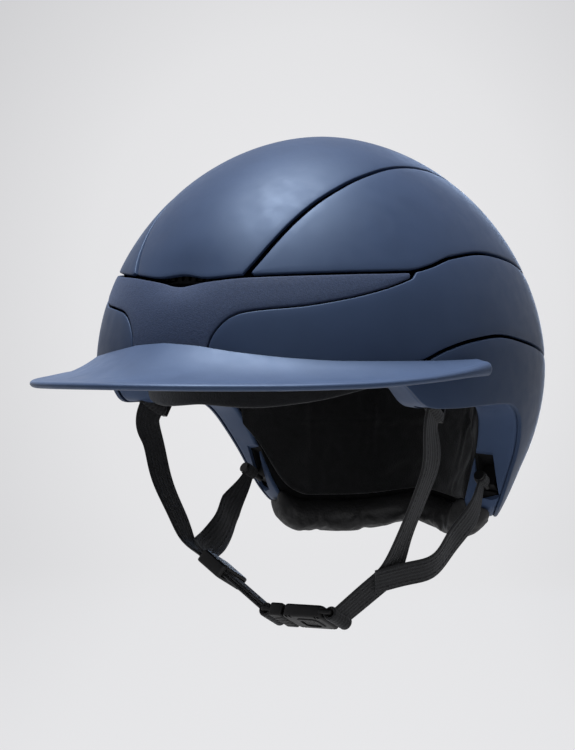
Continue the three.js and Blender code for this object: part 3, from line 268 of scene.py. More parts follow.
def edge_spread(length, count):
    """Shares along a length, close together at both ends."""
    ends = EDGE_STEPS * min(1, length / 14) / max(length, 1e-6)
    middle = np.linspace(ends[-1], 1 - ends[-1], count)[1:-1]
    return np.concatenate([ends, middle, 1 - ends[::-1]])


def edge_depth(*distances):
    """Depth of a rolled edge at distances from the panel's sides."""
    over = sum(np.maximum(0, EDGE_RADIUS - d) ** 2 for d in distances)
    roll = EDGE_RADIUS - np.sqrt(np.maximum(0, EDGE_RADIUS ** 2 - over))
    return roll + sum(SHOULDER_DROP * np.exp(-((d / SHOULDER_WIDTH) ** 2)) for d in distances)


def panel(name, surface, u_count, v_count, dent=False):
    """A closed panel over a surface patch (u, v) -> point, with rolled edges and a wall behind."""
    def at(u, v):
        return surface(*np.broadcast_arrays(u, v))

    long_side = distances(at(np.linspace(0, 1, 40), 0.5))[-1]
    us = edge_spread(long_side, u_count)
    widths = np.linalg.norm(at(us, 0.0) - at(us, 1.0), axis=1)
    rows = []
    depths = []
    for u, width in zip(us, widths):
        vs = edge_spread(width, v_count)
        rows.append(at(u, vs))
        depths.append(edge_depth(min(u, 1 - u) * long_side, np.minimum(vs, 1 - vs) * width))
    rows, depths = np.array(rows), np.array(depths)
    inwards = -outward(rows)
    dip = vent_dent(rows) if dent else 0 * depths
    outer = rows + inwards * (depths + dip)[..., None]
    return slab(name, outer, rows + inwards * (SKIN_DEPTH + dip)[..., None], 50)


# ---- Panel surfaces ----
def crown_seam_point(y):
    x = crown_seam_x(y)
    flat = np.hypot(x / HALF_WIDTH, y / HALF_LENGTH)
    z = CENTRE_Z + HALF_HEIGHT * np.maximum(0, 1 - flat ** ROUNDNESS) ** (1 / ROUNDNESS)
    return to_shell(np.stack([x, y, z], -1), 0)


SEAM_FRONT_Y = on_shell(CROWN_FRONT_ANGLE, belt_seam(CROWN_FRONT_ANGLE), 0)[1]
SEAM_BACK_Y = on_shell(CROWN_BACK_ANGLE, belt_seam(CROWN_BACK_ANGLE), 0)[1]


def crown_seam(share):
    turn = (1 - np.cos(np.pi * share)) / 2
    return crown_seam_point(SEAM_FRONT_Y + (SEAM_BACK_Y - SEAM_FRONT_Y) * (0.35 * share + 0.65 * turn))


def between(a, b, share):
    length = np.linalg.norm(b - a, axis=-1)
    inset = np.minimum(0.45, SEAM_GAP * 0.54 / np.maximum(length, 1e-6))
    return a + (b - a) * (inset + (1 - 2 * inset) * share)[..., None]


def crown_surface(u, v):
    flip = np.array([-1, 1, 1])
    front_angle = (CROWN_FRONT_ANGLE - 0.5) * (1 - 2 * v)
    back_angle = 180 - (180 - CROWN_BACK_ANGLE - 0.5) * (1 - 2 * v)
    front = on_shell(front_angle, above(belt_seam)(front_angle) + vent_bulge(front_angle), 0)
    back = on_shell(back_angle, above(belt_seam)(back_angle), 0)
    first, last = crown_seam(np.zeros_like(v)), crown_seam(np.ones_like(v))
    seam = crown_seam(u)
    row = between(seam, seam * flip, v)
    row = row + (front - between(first, first * flip, v)) * ((1 - u) ** 2)[..., None]
    row = row + (back - between(last, last * flip, v)) * (u ** 2)[..., None]
    return to_shell(row, 0)


def upper_surface(mirror):
    def surface(u, v):
        share = 0.024 + 0.962 * u
        angle = CROWN_FRONT_ANGLE + (CROWN_BACK_ANGLE - CROWN_FRONT_ANGLE) * share
        point = to_shell(between(crown_seam(share), on_shell(angle, belt_seam(angle), 0), v), 0)
        return point * np.array([mirror, 1, 1])
    return surface


def lower_surface(mirror):
    def surface(u, v):
        angle = WING_FRONT_ANGLE + (BACK_SEAM_ANGLE - WING_FRONT_ANGLE) * u ** 1.3
        wing = below(wing_seam, WING_GAP)(angle)
        top = np.where(angle < WING_TIP_ANGLE, wing, below(belt_seam)(angle))
        return on_shell(mirror * angle, top + (above(lower_seam)(angle) - top) * v, 0)
    return surface


def band_surface(u, v):
    spread = 2 * u - 1
    angle = WING_TIP_ANGLE * 0.985 * np.sign(spread) * np.abs(spread) ** 1.15
    top = below(belt_seam)(angle) - vent_bulge(angle)
    bottom = np.minimum(above(wing_seam, WING_GAP)(angle), top - 0.8)
    return on_shell(angle, top + (bottom - top) * v, 0)


def rim_angles(count):
    """Angles of columns round the shell, evenly spaced along the rim."""
    angles = np.linspace(0, 360, 1441)
    points = on_shell(angles, rim_line(angles), 0) * np.array([1, 1, 1.6])
    along = distances(points)
    return np.interp(np.arange(count) * along[-1] / count, along, angles)


COLUMNS = rim_angles(320)


def lower_shell():
    sections = []
    for angle, top, bottom in zip(COLUMNS, below(lower_seam)(COLUMNS), rim_line(COLUMNS)):
        height = top - bottom
        vs = edge_spread(height, 18)
        outer = on_shell(angle, top - height * vs, edge_depth(np.minimum(vs, 1 - vs) * height))
        sections.append(np.concatenate([outer, on_shell(angle, top - height * vs[::-3], SKIN_DEPTH)]))
    return loft("lower_shell_skin", sections, loop=True, sharp=50)


# ---- Rim trim, liner and brim ----
LIP_RISE, LIP_SHARE, RIM_SAG = 1.5, 0.07, 0.5


def rim_lift(extra):
    return lambda angle: rim_line(angle) + (RIM_WALL + extra) * steepness(rim_line, angle)


def rim_trim():
    """Return flange round the lower edge, gently crowned, with rounded lips."""
    outer, inner = PANEL_WALL + 0.5, FOAM_BOTTOM - 0.4
    width = inner - outer
    share = np.concatenate([[0, 0.012, 0.035, 0.07, 0.12], np.linspace(0.2, 0.8, 9),
                            [0.88, 0.93, 0.965, 0.99, 1]])
    to_edge = np.minimum(share, 1 - share)
    lip = LIP_RISE * np.clip(1 - to_edge / LIP_SHARE, 0, 1) ** 2.4
    sag = RIM_SAG * np.sin(np.pi * share)
    sections = []
    for angle, low, high in zip(COLUMNS, rim_line(COLUMNS) + 0.4, rim_lift(0)(COLUMNS)):
        under = on_shell(angle, np.minimum(high - 0.1, low + lip - sag), outer + width * share)
        top = on_shell(angle, high, outer + width * np.array([1, 0.66, 0.33, 0]))
        sections.append(np.concatenate([under, top]))
    return loft("rim_flange", sections, loop=True, sharp=60)


def dome_point(angle, end_z, share, depth):
    radius = np.where(end_z > CENTRE_Z, HALF_HEIGHT - depth, HALF_HEIGHT)
    end = (end_z - CENTRE_Z) / radius
    end_polar = np.arccos(np.sign(end) * np.abs(end) ** (ROUNDNESS / 2))
    c = np.cos(end_polar * share)
    height = np.sign(c) * np.abs(c) ** (2 / ROUNDNESS)
    return on_shell(angle, CENTRE_Z + height * np.where(c > 0, HALF_HEIGHT - depth, HALF_HEIGHT), depth)


def liner():
    """Foam liner: a smooth dome between its outer and inner faces, with moulded air channels inside."""
    columns = rim_angles(180)
    end = rim_lift(0.8)(columns)
    shares = np.concatenate([np.linspace(0.02, 0.96, 34), [0.985, 1]])
    outer = np.array([dome_point(columns, end, s, FOAM_TOP) for s in shares])
    channel = np.maximum(0, np.cos(6 * columns * DEG)) ** 8
    depths = [FOAM_BOTTOM - 3 * channel * np.clip((s - 0.25) / 0.1, 0, 1) * np.clip((0.8 - s) / 0.1, 0, 1)
              for s in shares]
    inner = np.array([dome_point(columns, end, s, d) for s, d in zip(shares, depths)])
    n, m = outer.shape[:2]
    poles = [(0, 0, CENTRE_Z + HALF_HEIGHT - depth) for depth in (FOAM_TOP, FOAM_BOTTOM)]
    points = np.concatenate([outer.reshape(-1, 3), inner.reshape(-1, 3), poles])
    faces = grid_faces(n, m, loop_columns=True) + grid_faces(n, m, n * m, loop_columns=True)
    for j in range(m):
        k = (j + 1) % m
        faces.append(((n - 1) * m + j, (n - 1) * m + k, (2 * n - 1) * m + k, (2 * n - 1) * m + j))
        faces.append((2 * n * m, j, k))
        faces.append((2 * n * m + 1, n * m + j, n * m + k))
    return mesh_object("foam_liner", points, faces, 50)


BRIM_REACH_FRONT, BRIM_REACH_END, BRIM_END_ANGLE = 55.0, 9.0, 84.2
BRIM_ROOT_WALL, BRIM_ROOT_PROUD, BRIM_NOSE = 9.0, 0.6, 2.8
brim_fullness = smooth_line([
    (0, 1), (0.17, 0.9), (0.35, 0.64), (0.52, 0.47), (0.7, 0.31), (0.87, 0.12), (1, 0)])
brim_edge_wall = smooth_line([(0, 3.6), (60, 3.6), (74, 4.6), (84, 7)])
brim_flare = smooth_line([(0, 2.6), (30, 2.5), (55, 2.0), (84, 1.6)])


def brim_section(angle, inset):
    """Outline of the peak straight out from the shell, drawn in by an inset at its ends."""
    fullness = brim_fullness(abs(angle) / BRIM_END_ANGLE)
    reach = BRIM_REACH_END + (BRIM_REACH_FRONT - BRIM_REACH_END) * fullness
    root_z, edge_z = float(brim_root(angle)), float(brim_edge_top(angle))
    wall, flare = float(brim_edge_wall(abs(angle))), float(brim_flare(abs(angle)))
    root = on_shell(angle, root_z, -BRIM_ROOT_PROUD)
    out = outward(np.array([root[0], root[1], CENTRE_Z]))
    nose = min(BRIM_NOSE, reach * 0.3)
    over = (reach - nose) * np.linspace(0, 1, 26)

    def top_z(distance):
        return edge_z + (root_z - edge_z) * (1 - distance / reach) ** flare

    def low_z(distance):
        return top_z(distance) - wall - (BRIM_ROOT_WALL - wall) * (1 - distance / reach) ** 3

    turn = np.linspace(90, -90, 15)[1:-1] * DEG
    mid_z = edge_z - wall / 2
    profile = [(d, top_z(d)) for d in over]
    profile += [(over[-1] + nose * math.cos(t), mid_z + wall / 2 * math.sin(t)) for t in turn]
    profile += [(d, low_z(d)) for d in over[::-1]]
    profile = np.array(profile)
    if inset:
        middle = np.array([reach * 0.4, mid_z])
        size = np.maximum(np.abs(profile - middle), 0.01)
        profile = middle + (profile - middle) * np.maximum(0.05, 1 - inset / size)
    feet = on_shell(angle, np.minimum(profile[:, 1], root_z), -BRIM_ROOT_PROUD)
    feet[:, 2] = profile[:, 1]
    return feet + out * profile[:, :1]


def brim():
    """The peak, with its two ends rounded off."""
    end_radius, mm_per_degree = 1.6, 1.9
    end_turn = end_radius / mm_per_degree
    steps = np.array([0, 0.06, 0.2, 0.4, 0.7, 1.0])
    insets = end_radius * (1 - np.sqrt(1 - (1 - steps) ** 2))
    ends = [(BRIM_END_ANGLE - step * end_turn, inset) for step, inset in zip(steps, insets)]
    middle = BRIM_END_ANGLE * np.sin(np.linspace(-0.5, 0.5, 91) * np.pi * 0.94) / math.sin(0.47 * math.pi)
    places = [(-angle, inset) for angle, inset in ends]
    places += [(angle, 0) for angle in middle if abs(angle) < BRIM_END_ANGLE - end_turn - 0.2]
    return loft("peak_brim", [brim_section(*place) for place in places + ends[::-1]], sharp=60)


# ---- Padding ----
PUFF_STEPS = 16
PUFF_CLOTH = {"quality": 6, "mass": 0.15, "tension_stiffness": 12, "compression_stiffness": 12,
              "shear_stiffness": 6, "bending_stiffness": 0.4, "use_pressure": True, "shrink_min": -0.04}


def puff(obj, hold, pressure, cap):
    """Blows a pad up with the cloth simulation, holding the vertices of weight 1, by at most cap mm."""
    group = obj.vertex_groups.new(name="hold")
    for index, weight in enumerate(hold):
        group.add([index], float(weight), "REPLACE")
    start = np.array([v.co for v in obj.data.vertices])
    cloth = obj.modifiers.new("cloth", "CLOTH")
    for key, value in PUFF_CLOTH.items():
        setattr(cloth.settings, key, value)
    cloth.settings.uniform_pressure_force = pressure
    cloth.settings.vertex_group_mass = "hold"
    cloth.settings.effector_weights.gravity = 0
    cloth.collision_settings.use_collision = False
    cloth.point_cache.frame_start = 1
    cloth.point_cache.frame_end = PUFF_STEPS
    scene = bpy.context.scene
    for step in range(1, PUFF_STEPS + 1):
        scene.frame_set(step)
    evaluated = obj.evaluated_get(bpy.context.evaluated_depsgraph_get())
    moved = np.array([v.co for v in evaluated.data.vertices]) - start
    obj.modifiers.remove(cloth)
    far = np.linalg.norm(moved, axis=1, keepdims=True)
    moved = np.nan_to_num(moved) * np.minimum(1, cap * MM / np.maximum(far, 1e-9))
    for vertex, shift in zip(obj.data.vertices, moved):
        vertex.co += Vector(shift)
    scene.frame_set(1)


def apply_modifiers(obj):
    bpy.context.view_layer.update()
    evaluated = obj.evaluated_get(bpy.context.evaluated_depsgraph_get())
    mesh = bpy.data.meshes.new_from_object(evaluated)
    obj.modifiers.clear()
    obj.data = mesh


def smoothed(obj):
    modifier = obj.modifiers.new("smooth", "SUBSURF")
    modifier.levels = modifier.render_levels = 1
    apply_modifiers(obj)
    return obj


PAD_MM_PER_DEGREE, PAD_ROW_HEIGHT = 1.45, 3.2
SEAM_DIP, SEAM_HALF_WIDTH, LEVEL_DIP, LEVEL_HALF_WIDTH = 2.6, 2.2, 2.4, 2.4


def liner_pad(name, from_angle, to_angle, top_line, bottom_line, columns, rows, seams=(), levels=()):
    """A quilted comfort pad along the foam. Seams are angles, and levels are shares of its height."""
    u, v = np.meshgrid(np.linspace(0, 1, columns), np.linspace(0, 1, rows), indexing="ij")
    angle = from_angle + (to_angle - from_angle) * u
    z = top_line(angle) + (bottom_line(angle) - top_line(angle)) * v
    swell = (np.sin(np.pi * u) * np.sin(np.pi * v)).clip(0) ** 0.3
    thickness = 1.6 + (PAD_WALL - 2.2) * swell
    held = (np.minimum(u, 1 - u) < 0.5 / columns) | (np.minimum(v, 1 - v) < 0.5 / rows)
    for seam in seams:
        away = np.abs(angle - seam)
        thickness -= SEAM_DIP * np.exp(-((away * PAD_MM_PER_DEGREE / SEAM_HALF_WIDTH) ** 2)) * swell
        held |= away < 0.55 * abs(to_angle - from_angle) / columns
    for level_share in levels:
        away = np.abs(v - level_share)
        thickness -= LEVEL_DIP * np.exp(-((away * rows * PAD_ROW_HEIGHT / LEVEL_HALF_WIDTH) ** 2)) * swell
        held |= away < 0.55 / rows
    obj = slab(name, on_shell(angle, z, PAD_TOP), on_shell(angle, z, PAD_TOP + thickness), 180)
    puff(obj, np.concatenate([np.ones(held.size), held.reshape(-1)]), 3.0, 1.6)
    return smoothed(obj)


def level(height):
    return lambda angle: np.full(np.shape(angle), CENTRE_Z + height, float)


PAD_JOIN_ANGLE, REAR_PAD_ANGLE = 61.0, 106.0
SIDE_PAD_START, SIDE_PAD_END, SIDE_PAD_SEAM = 64, 103, 84
PAD_TOP_HEIGHT, REAR_PAD_TOP_HEIGHT, SIDE_PAD_LOW = 18, 12, -9
rear_pad_bottom = round_shell([
    (100, -22), (112, -42), (118, -59), (123, -66.5), (130, -70), (145, -70), (180, -65.5)])
brow_pad_bottom = round_shell([(0, -17), (20, -18.5), (40, -15.5), (PAD_JOIN_ANGLE, -8)])

ROLL_END_ANGLE, ROLL_SEAMS = 117.8, (141, 162, 205, 226)
ROLL_OUTLINE = np.array([
    (5.2, -1.3), (15, -0.9), (24.6, -0.9), (25.9, 1.8), (26.6, 5.4), (30.2, 5.6), (32, 2), (31.4, -3.2),
    (28.4, -8), (22, -10.3), (15, -10.6), (9, -9.2), (5, -5.4)])


def rounded_outline(points, count):
    """Even points along a closed smooth curve through points."""
    n = len(points)
    dense = []
    for i in range(n):
        p0, p1, p2, p3 = (points[(i + k) % n] for k in (-1, 0, 1, 2))
        for t in np.linspace(0, 1, 12, endpoint=False):
            dense.append(0.5 * (2 * p1 + (p2 - p0) * t + (2 * p0 - 5 * p1 + 4 * p2 - p3) * t ** 2
                                + (3 * p1 - p0 - 3 * p2 + p3) * t ** 3))
    dense = np.array(dense + dense[:1])
    along = distances(dense)
    return resampled(dense, along, np.arange(count) * along[-1] / count)


def nape_roll():
    """Padded roll along the nape's rim, turned up behind it, with seams and rounded ends."""
    outline = rounded_outline(ROLL_OUTLINE, 44)
    middle = np.array([20.0, -5.0])
    far_end = 360 - ROLL_END_ANGLE
    ends = np.array([0, 0.25, 0.8, 1.6, 2.8])
    end_sizes = [0.25, 0.62, 0.82, 0.93, 1.0]
    middle_angles = np.linspace(ROLL_END_ANGLE + 4, far_end - 4, 92)
    angles = [*(ROLL_END_ANGLE + ends), *middle_angles, *(far_end - ends[::-1])]
    sections = []
    for angle, size in zip(angles, end_sizes + [1.0] * 92 + end_sizes[::-1]):
        pinch = 1 - 0.1 * sum(math.exp(-((angle - seam) / 0.8) ** 2) for seam in ROLL_SEAMS)
        section = middle + (outline - middle) * size
        hanging = section[:, 1] < -1.6
        section[hanging] = middle + (section[hanging] - middle) * pinch
        sections.append(on_shell(angle, float(rim_line(angle)) + section[:, 1], section[:, 0]))
    obj = loft("nape_bolster", sections, sharp=180)
    sewn = (ROLL_END_ANGLE, far_end, *ROLL_SEAMS)
    inside = [min(abs(angle - seam) for seam in sewn) > 1.4 for angle in angles]
    free = np.outer(inside, outline[:, 1] < -2.5).reshape(-1)
    puff(obj, np.where(free, 0.0, 1.0), 2.0, 0.9)
    return smoothed(obj)


CROWN_PAD_RADIUS, CROWN_RIM_WALL = 35.6, 3.0


def crown_pad():
    """Round quilted cushion inside the top, with radial channels in its lower face."""
    spokes = 72

    def under(r):
        flat = np.asarray(r, float) / (HALF_WIDTH - FOAM_BOTTOM)
        return CENTRE_Z + (HALF_HEIGHT - FOAM_BOTTOM) * (1 - flat ** ROUNDNESS) ** (1 / ROUNDNESS) - 1.2

    def lower(r):
        return np.minimum(0.25, under(r) - CROWN_RIM_WALL + 0.5)

    turn = np.arange(spokes) * 2 * np.pi / spokes
    channel = np.maximum(0, np.cos(3 * turn)) ** 14
    edge = CROWN_PAD_RADIUS
    top = [(r, float(under(r))) for r in edge * np.linspace(0.12, 0.95, 8)]
    low = [(r, float(lower(r))) for r in edge * np.linspace(0.95, 0.08, 14)]
    rim_z = float(under(edge))
    rows = top + [(edge * 0.985, rim_z - 0.2), (edge, rim_z - 1.2), (edge * 0.99, rim_z - 2.0)] + low
    points = [(0, 0, float(under(0)))]
    for i, (r, z) in enumerate(rows):
        groove = channel * (1.6 if i > len(top) + 2 else 0) * min(1, max(0, r - 5) / 4)
        points += [(r * math.cos(t), r * math.sin(t), z + g) for t, g in zip(turn, groove)]
    points.append((0, 0, 0.4))
    faces = grid_faces(len(rows), spokes, 1, loop_columns=True)
    last = 1 + (len(rows) - 1) * spokes
    for j in range(spokes):
        k = (j + 1) % spokes
        faces += [(0, 1 + k, 1 + j), (last + j, last + k, last + spokes)]
    return smoothed(mesh_object("crown_cushion", points, faces, 180))


# ---- Harness ----
def unit(v):
    v = np.asarray(v, float)
    return v / np.linalg.norm(v)


BUCKLE_TILT = 24 * DEG
FRONT_PIN_ANGLE, FRONT_PIN_Z, FRONT_PIN_DEPTH = 75.5, -105.27, 12.5
REAR_PIN_ANGLE, REAR_PIN_Z, REAR_PIN_DEPTH, REAR_PIN_FORWARD = 113.8, -142.55, 12.7, 6
FACE_OUT = np.array([0, -math.sin(BUCKLE_TILT), -math.cos(BUCKLE_TILT)])
ACROSS = np.array([0, -math.cos(BUCKLE_TILT), math.sin(BUCKLE_TILT)])
SLIDE = np.array([1.0, 0, 0])
CHIN = np.array([24.5, -42, -211])
BUCKLE_WIDTH, BUCKLE_HEIGHT, BUCKLE_LENGTH = 19.0, 7.0, 25.0
CLEARANCE = 0.3
LOOP_INNER = 1.5 + CLEARANCE
BAR_LENGTH, BAR_HEIGHT = 3.0, 2.4
BUCKLE_LOOP_INNER = math.hypot(BAR_LENGTH, BAR_HEIGHT) / 2 + CLEARANCE
BUCKLE_LOOP_OUTER = BUCKLE_LOOP_INNER + BELT_THICKNESS
HOUSING_END = BUCKLE_LENGTH / 2
HOUSING_BAR_X = HOUSING_END + CLEARANCE + BUCKLE_LOOP_OUTER
GRIP_START, GRIP_LENGTH = -HOUSING_END - 0.5, 8.0
TONGUE_BAR_X = GRIP_START - GRIP_LENGTH - BUCKLE_LOOP_OUTER


def in_buckle(x, y, z):
    return CHIN + SLIDE * x + ACROSS * y + FACE_OUT * z


def hinge(mirror):
    """The two pins of one half of the harness, and the line through them that it swings about."""
    front = on_shell(mirror * FRONT_PIN_ANGLE, FRONT_PIN_Z, FRONT_PIN_DEPTH)
    rear = on_shell(mirror * REAR_PIN_ANGLE, REAR_PIN_Z, REAR_PIN_DEPTH)
    rear[1] -= REAR_PIN_FORWARD
    axis = unit(rear - front)
    up = unit(np.array([0, 0, 1]) - axis * axis[2])
    return {"front": front, "rear": rear, "axis": axis, "up": up}


def junction(centre, forward, side_hint):
    """Places stops where two straps meet: a distance along a turned strap, in a layer of the stack."""
    side = unit(side_hint - forward * np.dot(side_hint, forward))
    face = np.cross(side, forward)
    if face[2] > 0:
        face = -face

    def at(distance, turn, layer):
        a = turn * DEG
        run = forward * math.cos(a) - side * math.sin(a)
        return centre + run * distance + face * layer, forward * math.sin(a) + side * math.cos(a)
    at.face = face
    return at


def leaving(line, kind, straight):
    """The first stops of a strap, straight down from its bar."""
    return [(line[kind] - line["up"] * d, line["axis"]) for d in (LOOP_INNER + BELT_THICKNESS / 2, straight)]


def centripetal(points, count):
    """Points along a centripetal Catmull-Rom curve, evenly in its parameter, as the CAD lofts run."""
    points = np.asarray(points, float)
    points = np.vstack([2 * points[0] - points[1], points, 2 * points[-1] - points[-2]])
    out = []
    spans = len(points) - 3
    for t in np.linspace(0, spans, count):
        i = min(int(t), spans - 1)
        p0, p1, p2, p3 = points[i:i + 4]
        d = [max(1e-4, np.sum((b - a) ** 2) ** 0.25) for a, b in ((p0, p1), (p1, p2), (p2, p3))]
        t1 = (p1 - p0) / d[0] - (p2 - p0) / (d[0] + d[1]) + (p2 - p1) / d[1]
        t2 = (p2 - p1) / d[1] - (p3 - p1) / (d[1] + d[2]) + (p3 - p2) / d[2]
        out.append(hermite(t - i, p1, t1 * d[1], p2, t2 * d[1]))
    return np.array(out)


def relaxed(line, spread, spacing):
    """Evens out a line over a spread in mm, with its ends held."""
    line = line.copy()
    for _ in range(int(2 * (spread / spacing) ** 2)):
        line[1:-1] += (line[:-2] - 2 * line[1:-1] + line[2:]) / 4
    return line


PATH_EASE, TWIST_EASE = 4.0, 7.0


def belt_path(stops, spacing=1.2):
    """Distances, centre points, width directions and face directions along webbing, evenly spaced."""
    path, sides = (centripetal(values, 600) for values in zip(*stops))
    along = distances(path)
    at = np.linspace(0, along[-1], int(along[-1] / spacing) + 1)
    path = relaxed(resampled(path, along, at), PATH_EASE, spacing)
    sides = relaxed(resampled(sides, along, at), TWIST_EASE, spacing)
    forward = np.gradient(path, axis=0)
    forward /= np.linalg.norm(forward, axis=1, keepdims=True)
    sides -= forward * np.sum(sides * forward, axis=1, keepdims=True)
    sides /= np.linalg.norm(sides, axis=1, keepdims=True)
    return at, path, sides, np.cross(sides, forward)


def belt_section(width):
    """Outline of webbing: rounded selvedges and seven shallow ribs on each face."""
    xs = np.linspace(-1, 1, 30)
    heights = BELT_THICKNESS / 2 - 0.08 + 0.06 * np.cos(xs * np.pi * 7)
    selvedge = np.sqrt(np.maximum(0, 1 - np.abs(xs) ** 14))
    upper = np.stack([xs * width / 2, heights * selvedge], -1)
    return np.concatenate([upper, upper[-2:0:-1] * (1, -1)])


def webbing(stops, start_width=BELT_WIDTH):
    """Vertices, faces and cloth coordinates of a length of webbing."""
    at, path, sides, faces_out = belt_path(stops)
    rows = []
    marks = []
    for i, distance in enumerate(at):
        grown = min(1, distance / at[-1] * 5)
        section = belt_section(start_width + (BELT_WIDTH - start_width) * grown)
        rows.append(path[i] + section[:, :1] * sides[i] + section[:, 1:] * faces_out[i])
        marks += [(x, distance, y) for x, y in section]
    rows = np.array(rows)
    size = rows.shape[:2]
    return rows.reshape(-1, 3), grid_faces(*size, loop_columns=True) + end_faces(*size), marks


def bar_loop(centre, axis, inner, width=BELT_WIDTH):
    """Webbing wrapped round a bar."""
    z = unit(axis)
    x = unit(np.array([0, 0, 1]) - z * z[2])
    y = np.cross(z, x)
    section = belt_section(width)
    radius = inner + BELT_THICKNESS / 2
    rows = []
    marks = []
    for turn in np.arange(0, 360, 10) * DEG:
        out = x * math.cos(turn) + y * math.sin(turn)
        rows.append(centre + out * radius + section[:, :1] * z + section[:, 1:] * out)
        marks += [(a, turn * radius, b) for a, b in section]
    rows = np.array(rows)
    return rows.reshape(-1, 3), grid_faces(*rows.shape[:2], loop_rows=True, loop_columns=True), marks


STITCH_LENGTH, STITCH_PITCH, STITCH_ROW = 2.3, 3.4, 4.6


def stitches(stops, start, end_inset):
    """Two rows of sewing thread on both faces, as small rounded dashes."""
    along, path, sides, outs = belt_path(stops, 0.5)
    points = []
    faces = []
    marks = []
    for middle in np.arange(start, along[-1] - end_inset, STITCH_PITCH):
        for row in (-STITCH_ROW, STITCH_ROW):
            for face in (-1, 1):
                faces += grid_faces(5, 6, len(points), loop_columns=True) + end_faces(5, 6, len(points))
                for share, size in ((-1, 0.08), (-0.6, 0.22), (0, 0.27), (0.6, 0.22), (1, 0.08)):
                    place = middle + share * STITCH_LENGTH / 2
                    centre, side, out = (resampled(line, along, place) for line in (path, sides, outs))
                    out, side = unit(out) * face, unit(side)
                    centre = centre + side * row + out * (BELT_THICKNESS / 2 - 0.06)
                    for turn in np.arange(6) * np.pi / 3:
                        points.append(centre + side * size * math.cos(turn) + out * size * math.sin(turn))
                        marks.append((row, place, 0))
    return points, faces, marks


def belt_object(name, *parts):
    """Joins lengths of webbing, loops and stitches into one piece."""
    points = []
    faces = []
    marks = []
    for part_points, part_faces, part_marks in parts:
        faces += [tuple(i + len(points) for i in face) for face in part_faces]
        points += list(part_points)
        marks += part_marks
    return mesh_object(name, points, faces, 60, marks)


LEFT, RIGHT = hinge(1), hinge(-1)
JOIN_LEFT, JOIN_RIGHT = np.array([63.0, -29, -189]), np.array([-55.0, -30, -183])
HOUSING_BAR, TONGUE_BAR = in_buckle(HOUSING_BAR_X, 0, 0), in_buckle(TONGUE_BAR_X, 0, 0)
LEFT_RUN, RIGHT_RUN = unit(HOUSING_BAR - JOIN_LEFT), unit(TONGUE_BAR - JOIN_RIGHT)
RUN_LENGTH = np.linalg.norm(TONGUE_BAR - JOIN_RIGHT)
MEET_LEFT = junction(JOIN_LEFT, LEFT_RUN, np.array([0, 0.84, -0.5]))
MEET_RIGHT = junction(JOIN_RIGHT, RIGHT_RUN, -ACROSS)
SEWN_LAYER = BELT_THICKNESS + 0.25
LAYER = BELT_THICKNESS / 2 + 0.2
DIVIDER_LENGTH, DIVIDER_START = 20.0, 6.5
DIVIDER_END = DIVIDER_START + DIVIDER_LENGTH
REAR_SLEEVE = 7.0


def stop(point, width):
    return np.array(point, float), np.array(width, float)


def straps():
    """The parts of each strap. Stops are given one by one between the pins and the places that they meet."""
    front_left = [*leaving(LEFT, "front", 9), stop((89.7, -28.5, -131), (-0.1, 0.97, -0.15)),
                  stop((84.6, -29, -145), (-0.15, 0.96, -0.1)), stop((73.5, -29, -168), (-0.2, 0.94, -0.15)),
                  MEET_LEFT(0, 0, 0), MEET_LEFT(8, 0, 0),
                  (HOUSING_BAR - LEFT_RUN * (BUCKLE_LOOP_INNER + BELT_THICKNESS / 2), -ACROSS)]
    rear_left = [*leaving(LEFT, "rear", 7), stop((79, 24, -158.5), (-0.2, 0.62, -0.75)),
                 stop((77, 9, -171.5), (-0.2, 0.58, -0.78)), MEET_LEFT(-22, 34, SEWN_LAYER + 2.4),
                 MEET_LEFT(-10, 34, SEWN_LAYER + 1.1), MEET_LEFT(8, 34, SEWN_LAYER + 0.2)]
    front_right = [*leaving(RIGHT, "front", 9), stop((-91.2, -28.5, -124), (0.1, 0.97, -0.15)),
                   stop((-84.2, -29.5, -145), (0.15, 0.95, -0.2)), stop((-72, -31, -164), (0.15, 0.92, -0.3)),
                   MEET_RIGHT(-9, -6, LAYER + 0.6), MEET_RIGHT(2, 0, LAYER),
                   MEET_RIGHT(RUN_LENGTH * 0.55, 0, LAYER),
                   MEET_RIGHT(RUN_LENGTH - BUCKLE_LOOP_INNER, 0, LAYER)]
    returned = [MEET_RIGHT(DIVIDER_END + 2.6, 0, -LAYER),
                MEET_RIGHT((DIVIDER_END + RUN_LENGTH) / 2, 0, -LAYER),
                MEET_RIGHT(RUN_LENGTH - BUCKLE_LOOP_INNER, 0, -LAYER)]
    rear_right = [*leaving(RIGHT, "rear", 7), stop((-77, 20, -160.5), (0.2, 0.62, -0.75)),
                  stop((-70, 5, -170.5), (0.2, 0.6, -0.75)), MEET_RIGHT(-17, 46, -LAYER - 3.8),
                  MEET_RIGHT(-8, 36, -LAYER - 1), MEET_RIGHT(4, 0, -LAYER),
                  MEET_RIGHT(DIVIDER_END + 1.2, 0, -LAYER)]

    def rear_strap(line, stops, end_inset):
        return [webbing(stops, REAR_SLEEVE), bar_loop(line["rear"], line["axis"], LOOP_INNER, REAR_SLEEVE),
                stitches(stops, 26, end_inset)]

    return {
        "front_left": [webbing(front_left), bar_loop(LEFT["front"], LEFT["axis"], LOOP_INNER),
                       bar_loop(HOUSING_BAR, ACROSS, BUCKLE_LOOP_INNER), stitches(front_left, 12, 6)],
        "rear_left": rear_strap(LEFT, rear_left, 3),
        "front_right": [webbing(front_right), webbing(returned),
                        bar_loop(RIGHT["front"], RIGHT["axis"], LOOP_INNER),
                        bar_loop(TONGUE_BAR, ACROSS, BUCKLE_LOOP_INNER),
                        stitches(front_right, 12, RUN_LENGTH + 4)],
        "rear_right": rear_strap(RIGHT, rear_right, DIVIDER_END + 6),
    }


